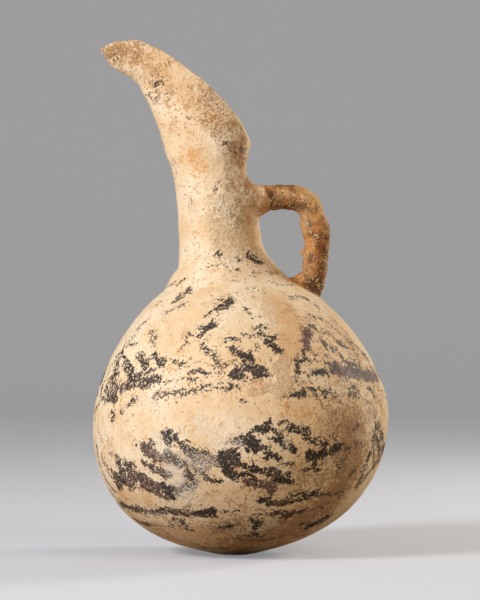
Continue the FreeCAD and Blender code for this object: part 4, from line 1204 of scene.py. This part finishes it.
# %%
class Value:
    """A shader value that takes part in arithmetic."""

    def __init__(self, shader, socket):
        self.shader, self.socket = shader, socket

    def maths(self, operation, *others, clamp=False):
        node = self.shader.node("ShaderNodeMath", {"operation": operation, "use_clamp": clamp}, *others)
        return Value(self.shader, node.outputs[0])

    def __add__(self, other): return self.maths("ADD", self, other)
    def __radd__(self, other): return self.maths("ADD", other, self)
    def __sub__(self, other): return self.maths("SUBTRACT", self, other)
    def __rsub__(self, other): return self.maths("SUBTRACT", other, self)
    def __mul__(self, other): return self.maths("MULTIPLY", self, other)
    def __rmul__(self, other): return self.maths("MULTIPLY", other, self)
    def clamp(self): return self.maths("ADD", self, 0.0, clamp=True)
    def most(self, other): return self.maths("MAXIMUM", self, other)

    def between(self, low, high):
        """0 at low, 1 at high, with a soft slope between."""
        node = self.shader.node("ShaderNodeMapRange", {"interpolation_type": "SMOOTHSTEP"},
                                self, low, high, 0.0, 1.0)
        return Value(self.shader, node.outputs[0])


class Shader:
    """One material's nodes."""

    def __init__(self, name):
        self.material = bpy.data.materials.new(name)
        self.material.use_nodes = True
        self.tree = self.material.node_tree
        self.surface = self.tree.nodes["Principled BSDF"]
        self.place = self.node("ShaderNodeTexCoord").outputs["Object"]

    def node(self, kind, settings=None, *inputs, **named):
        """A node of a type, with its settings and then its inputs, by order or by name."""
        node = self.tree.nodes.new(kind)
        for key, value in (settings or {}).items():
            setattr(node, key, value)
        for key, value in list(enumerate(inputs)) + [(k.replace("_", " "), v) for k, v in named.items()]:
            self.plug(node.inputs[key], value)
        return node

    def plug(self, slot, value):
        value = value.socket if isinstance(value, Value) else value
        if isinstance(value, bpy.types.NodeSocket):
            self.tree.links.new(value, slot)
        else:
            slot.default_value = value

    def attribute(self, name):
        return Value(self, self.node("ShaderNodeAttribute", {"attribute_name": name}).outputs["Fac"])

    def grain(self, size, detail=3.0, rough=0.55):
        """Noise between 0 and 1 with features of a size in mm."""
        node = self.node("ShaderNodeTexNoise", None, Vector=self.place, Scale=1 / (size * MM),
                         Detail=detail, Roughness=rough)
        return Value(self, node.outputs["Fac"])

    def cells(self, size, feature="F1"):
        """Round cells of a size in mm, or the distance to their edges."""
        return self.node("ShaderNodeTexVoronoi", {"feature": feature},
                         Vector=self.place, Scale=1 / (size * MM))

    def spots(self, size, radius, share):
        """1 in round spots of a radius, as shares of the cells' size, in a share of the cells."""
        cells = self.cells(size)
        lucky = Value(self, self.node("ShaderNodeSeparateColor", None, cells.outputs["Color"]).outputs[0])
        near = 1 - Value(self, cells.outputs["Distance"]).between(radius * 0.6, radius)
        return near * lucky.between(1 - share, 1 - share + 0.02)

    def mix(self, share, a, b):
        """Colour a, or b where the share is 1."""
        node = self.tree.nodes.new("ShaderNodeMix")
        node.data_type = "RGBA"
        for slot, value in ((node.inputs[0], share), (node.inputs[6], a), (node.inputs[7], b)):
            self.plug(slot, value)
        return node.outputs[2]

    def bump(self, height, distance, under=None, strength=1.0):
        named = {"Height": height, "Distance": distance * MM, "Strength": strength}
        if under is not None:
            named["Normal"] = under
        return self.node("ShaderNodeBump", None, **named).outputs[0]


def colour(red, green, blue):
    """A screen colour of 0 to 255 as the light it stands for."""
    share = np.array([red, green, blue]) / 255
    return tuple(np.where(share < 0.04045, share / 12.92, ((share + 0.055) / 1.055) ** 2.4)) + (1.0,)


# %% [markdown]
# ### The slip, the paint, what the ground did to them, and painted shade and highlight
#
# Each layer is laid over the last where its attribute, made ragged by the grains, passes a threshold.

# %%
def ragged(value, *grains):
    """A value plus each grain's swing about its middle, times a weight."""
    for grain, weight in grains:
        value = value + (grain - 0.5) * weight
    return value


def clay_material(name, light, middle, deep, tan, stain, earth, pale, bias):
    """Painted, stained and crusted clay, from seven colours. The bias spreads the stains. The soil
    and crust patches also carry painted shade and painted highlight.
    """
    s = Shader(name)
    broad, cloud, patchy, fine, grit = (s.grain(38), s.grain(13, 4, 0.6), s.grain(4.5, 5, 0.62),
                                        s.grain(1.5, 4, 0.68), s.grain(0.6, 3, 0.65))
    other, spotty = s.grain(21, 4, 0.6), s.grain(7.5, 2, 0.5)
    rough, brown = s.attribute("rough"), s.attribute("earth")
    ground = s.mix((0.6 * broad + 0.4 * cloud).between(0.40, 0.60), middle, light)
    ground = s.mix((0.4 * other + 0.6 * patchy).between(0.50, 0.68) * 0.6, ground, deep)
    ground = s.mix((0.4 * patchy + 0.6 * fine).between(0.50, 0.66) * 0.45, ground, light)
    spotted = spotty.between(0.62, 0.74) * patchy.between(0.40, 0.62)
    ground = s.mix(spotted * 0.75, ground, colour(226, 166, 92))
    small = s.grain(2.6, 1.5, 0.5)
    ground = s.mix(small.between(0.67, 0.74) * other.between(0.42, 0.58) * 0.8, ground, colour(222, 168, 84))
    tanned = ragged(s.attribute("tan"), (cloud, 0.9), (patchy, 0.6)).between(0.15, 0.85)
    ground = s.mix(tanned * 0.75, ground, tan)
    gritty = (fine * 0.6 + grit * 0.4).between(0.55, 0.67) * (0.26 + rough * 0.18)
    ground = s.mix(gritty, ground, colour(186, 138, 86))
    sand = s.grain(0.95, 2, 0.5)
    ground = s.mix(sand.between(0.58, 0.70) * (0.16 + rough * 0.14), ground, colour(160, 116, 72))
    ground = s.mix((1 - sand.between(0.32, 0.44)) * (0.15 + rough * 0.15), ground, light)
    gold = ragged(s.attribute("gold"), (patchy, 0.9), (fine, 3.0), (sand, 2.6)).between(0.60, 0.80)
    ochre = s.mix(cloud.between(0.42, 0.58), colour(220, 158, 76), colour(204, 160, 90))
    ground = s.mix(gold * 0.72, ground, ochre)

    soaked = (s.attribute("stain") + (cloud + patchy - 1.0) * 1.3 + bias).between(0.15, 0.70)
    ground = s.mix(soaked * 0.85, ground, stain)
    rusty = (s.attribute("stain") * 0.5 + patchy * 0.7 + fine * 0.8 + bias * 0.5).between(1.05, 1.30)
    ground = s.mix(rusty * 0.55, ground, colour(146, 92, 50))
    # Soil, which on the lower right, along the bottom and under the handle is also painted shade.
    soil_and_shade_mask = ragged(brown * 1.1, (cloud, 0.9), (patchy, 1.3), (fine, 2.4), (sand, 1.6)).between(0.18, 0.92)
    ground = s.mix(soil_and_shade_mask * 0.80, ground, earth)
    dusty = ragged(brown * 0.6, (other, 1.0), (fine, 2.6), (sand, 1.8)).between(0.55, 0.85) * soil_and_shade_mask
    ground = s.mix(dusty * 0.55, ground, tan)
    pits = (1 - sand.between(0.30, 0.42)) * fine.between(0.36, 0.52) * brown.between(0.2, 0.8)
    ground = s.mix(pits * 0.50, ground, colour(92, 62, 38))

    sooty = ragged(s.attribute("soot"), (patchy, 1.6), (fine, 1.8)).between(0.30, 0.75)
    ground = s.mix(sooty * 0.55, ground, colour(118, 104, 94))
    filled = s.attribute("fill").between(0.30, 0.70)
    beige = s.mix(fine.between(0.40, 0.60), colour(190, 148, 98), colour(232, 204, 160))
    ground = s.mix(filled * 0.45, ground, beige)

    edge = Value(s, s.cells(7.0, "DISTANCE_TO_EDGE").outputs["Distance"])
    craze = (1 - edge.between(0.0, 0.012)) * cloud.between(0.46, 0.62) * 0.5
    ground = s.mix(craze * 0.5, ground, colour(150, 108, 70))
    flecks = s.grain(1.2, 1, 0.5).between(0.70, 0.74) * cloud.between(0.42, 0.56)
    specks = flecks.most(s.spots(3.4, 0.12, 0.22)).most(s.spots(8.0, 0.08, 0.5))
    ground = s.mix(specks * 0.75, ground, colour(84, 58, 42))

    cover = s.attribute("paint")
    flaked = ragged(cover, (patchy, 1.1), (fine, 2.8), (sand, 1.5), (grit, 1.2))
    painted = flaked.between(0.44, 0.56) * cover.between(0.02, 0.14)
    worn = ragged(cover, (fine, 1.8), (grit, 1.4)).between(0.22, 0.70) * cover.between(0.04, 0.30)
    ground = s.mix(worn * 0.45, ground, colour(160, 134, 112))
    tone = ragged(s.attribute("tone"), (cloud, 1.2), (patchy, 0.8))
    ink = s.mix(tone.between(0.05, 0.50), colour(30, 25, 24), colour(60, 48, 44))
    ink = s.mix(tone.between(0.45, 0.80), ink, colour(104, 74, 66))
    ink = s.mix(tone.between(0.80, 1.10), ink, colour(88, 58, 42))
    mottle = s.grain(1.7, 3, 0.6)
    thin = mottle.between(0.48, 0.64) * (0.20 + tone.between(0.0, 0.6) * 0.50)
    ink = s.mix(thin, ink, colour(142, 122, 108))
    ink = s.mix((1 - mottle.between(0.34, 0.46)) * 0.7, ink, colour(30, 24, 22))
    ground = s.mix(painted * 0.96, ground, ink)

    # Lime crust, which along the handle's top and outer edge is also a painted highlight.
    crust_and_highlight = ragged(s.attribute("lime"), (patchy, 1.0), (fine, 2.4), (sand, 2.2)).between(0.50, 0.85)
    ground = s.mix(crust_and_highlight * 0.66, ground, pale)
    crack = s.attribute("crack").between(0.30, 0.85) * (fine + patchy).between(0.86, 1.02)
    ground = s.mix(crack * 0.85, ground, colour(62, 42, 30))

    surface = s.surface
    s.plug(surface.inputs["Base Color"], ground)
    shine = 0.56 + (patchy - 0.5) * 0.3 + crust_and_highlight * 0.25 + filled * 0.2 + rough * 0.18 - painted * 0.05
    s.plug(surface.inputs["Roughness"], shine.clamp())
    surface.inputs["Specular IOR Level"].default_value = 0.35

    under = s.bump((0.5 * cloud + 0.5 * patchy) * (0.5 + rough), 1.6, strength=0.8)
    relief = (fine * 0.75 + grit * 0.30) * (0.35 + rough * 1.0) - specks * 0.5 + painted * 0.14 + crust_and_highlight * 0.25
    relief = relief + rough.between(0.70, 1.0) * fine.between(0.46, 0.60) * 0.6
    relief = relief - crack * 2.0 - craze * 0.2 + filled * (fine * 1.4 + grit * 0.6)
    s.plug(surface.inputs["Normal"], s.bump(relief, 0.40, under))
    return s.material


# The cream's soil colour also darkens the lower right and the bottom as painted shade.
cream = clay_material(
    "cream_slip", light=colour(247, 228, 194), middle=colour(237, 206, 161), deep=colour(218, 174, 120),
    tan=colour(222, 176, 120), stain=colour(206, 148, 88), earth=colour(164, 118, 70),
    pale=colour(238, 228, 212), bias=-0.16)
# The orange clay's soil colour is also painted shade under the handle, and its crust colour a painted
# highlight along its edges.
orange = clay_material(
    "orange_clay", light=colour(212, 162, 98), middle=colour(184, 122, 58), deep=colour(140, 84, 34),
    tan=colour(234, 194, 138), stain=colour(118, 60, 20), earth=colour(52, 34, 16),
    pale=colour(240, 214, 168), bias=0.00)
for name, piece in pieces.items():
    piece.data.materials.append(orange if name in ("handle_clay", "handle_foot_clay") else cream)

# %% [markdown]
# ## Floor and light
#
# A pale floor that curves up into a backdrop, one large soft lamp at the upper left with a weak one
# under it, a weak warm one at the right, and a thin light from behind the handle. The paper of the
# floor is paler to the camera than to the jug, and glows a little, for the camera alone.

# %%
def sweep(width, front, back, height, bend):
    """A floor along Y that turns up into a wall in a quarter circle, as a grid of points in metres."""
    turn = np.linspace(0, np.pi / 2, 24)
    y = np.concatenate([[front], back - bend + bend * np.sin(turn), [back]])
    z = np.concatenate([[0], bend - bend * np.cos(turn), [height]])
    x = np.array([-width / 2, width / 2])
    return np.stack([np.broadcast_to(x, (len(y), 2)), np.broadcast_to(y[:, None], (len(y), 2)),
                     np.broadcast_to(z[:, None], (len(y), 2))], axis=-1)


floor_grid = sweep(width=8.0, front=-3.2, back=3.4, height=3.6, bend=1.6)
mesh = bpy.data.meshes.new("floor")
count = len(floor_grid)
mesh.from_pydata(floor_grid.reshape(-1, 3).tolist(), [],
                 [(2 * n, 2 * n + 1, 2 * n + 3, 2 * n + 2) for n in range(count - 1)])
mesh.shade_smooth()
floor = bpy.data.objects.new("floor", mesh)
bpy.context.scene.collection.objects.link(floor)
plain = Shader("floor_paper")
seen = Value(plain, plain.node("ShaderNodeLightPath").outputs["Is Camera Ray"])
plain.plug(plain.surface.inputs["Base Color"], plain.mix(seen, colour(150, 132, 110), colour(194, 196, 200)))
plain.plug(plain.surface.inputs["Emission Color"], plain.mix(seen, colour(0, 0, 0), colour(124, 127, 132)))
plain.surface.inputs["Emission Strength"].default_value = 1.0
plain.surface.inputs["Roughness"].default_value = 0.85
floor.data.materials.append(plain.material)


def lamp(name, place, aim, size, power, tint):
    """A round lamp at a place in metres, turned towards a point."""
    light = bpy.data.lights.new(name, "AREA")
    light.shape, light.size, light.energy, light.color = "DISK", size, power, tint
    obj = bpy.data.objects.new(name, light)
    obj.location = place
    direction = np.array(aim) - np.array(place)
    flat = np.hypot(direction[0], direction[1])
    obj.rotation_euler = (np.arctan2(flat, -direction[2]), 0, np.arctan2(-direction[0], direction[1]))
    bpy.context.scene.collection.objects.link(obj)


MIDDLE = (0.0, 0.0, 0.12)
lamp("key", (-0.98, -0.88, 0.76), MIDDLE, 0.42, 17.8, (0.93, 0.93, 1.0))
lamp("low", (-1.10, -0.60, 0.10), MIDDLE, 0.18, 2.8, (1.0, 0.96, 0.95))
lamp("fill", (0.90, -0.95, 0.95), MIDDLE, 0.80, 5.6, (1.0, 0.81, 0.60))
lamp("rim", (0.80, 0.45, 0.45), MIDDLE, 0.3, 5.0, (1.0, 0.95, 0.88))
world = bpy.data.worlds.new("World")
world.use_nodes = True
world.node_tree.nodes["Background"].inputs["Color"].default_value = (0.84, 0.71, 0.56, 1.0)
world.node_tree.nodes["Background"].inputs["Strength"].default_value = 0.22
bpy.context.scene.world = world
bpy.context.scene.view_settings.view_transform = "Standard"
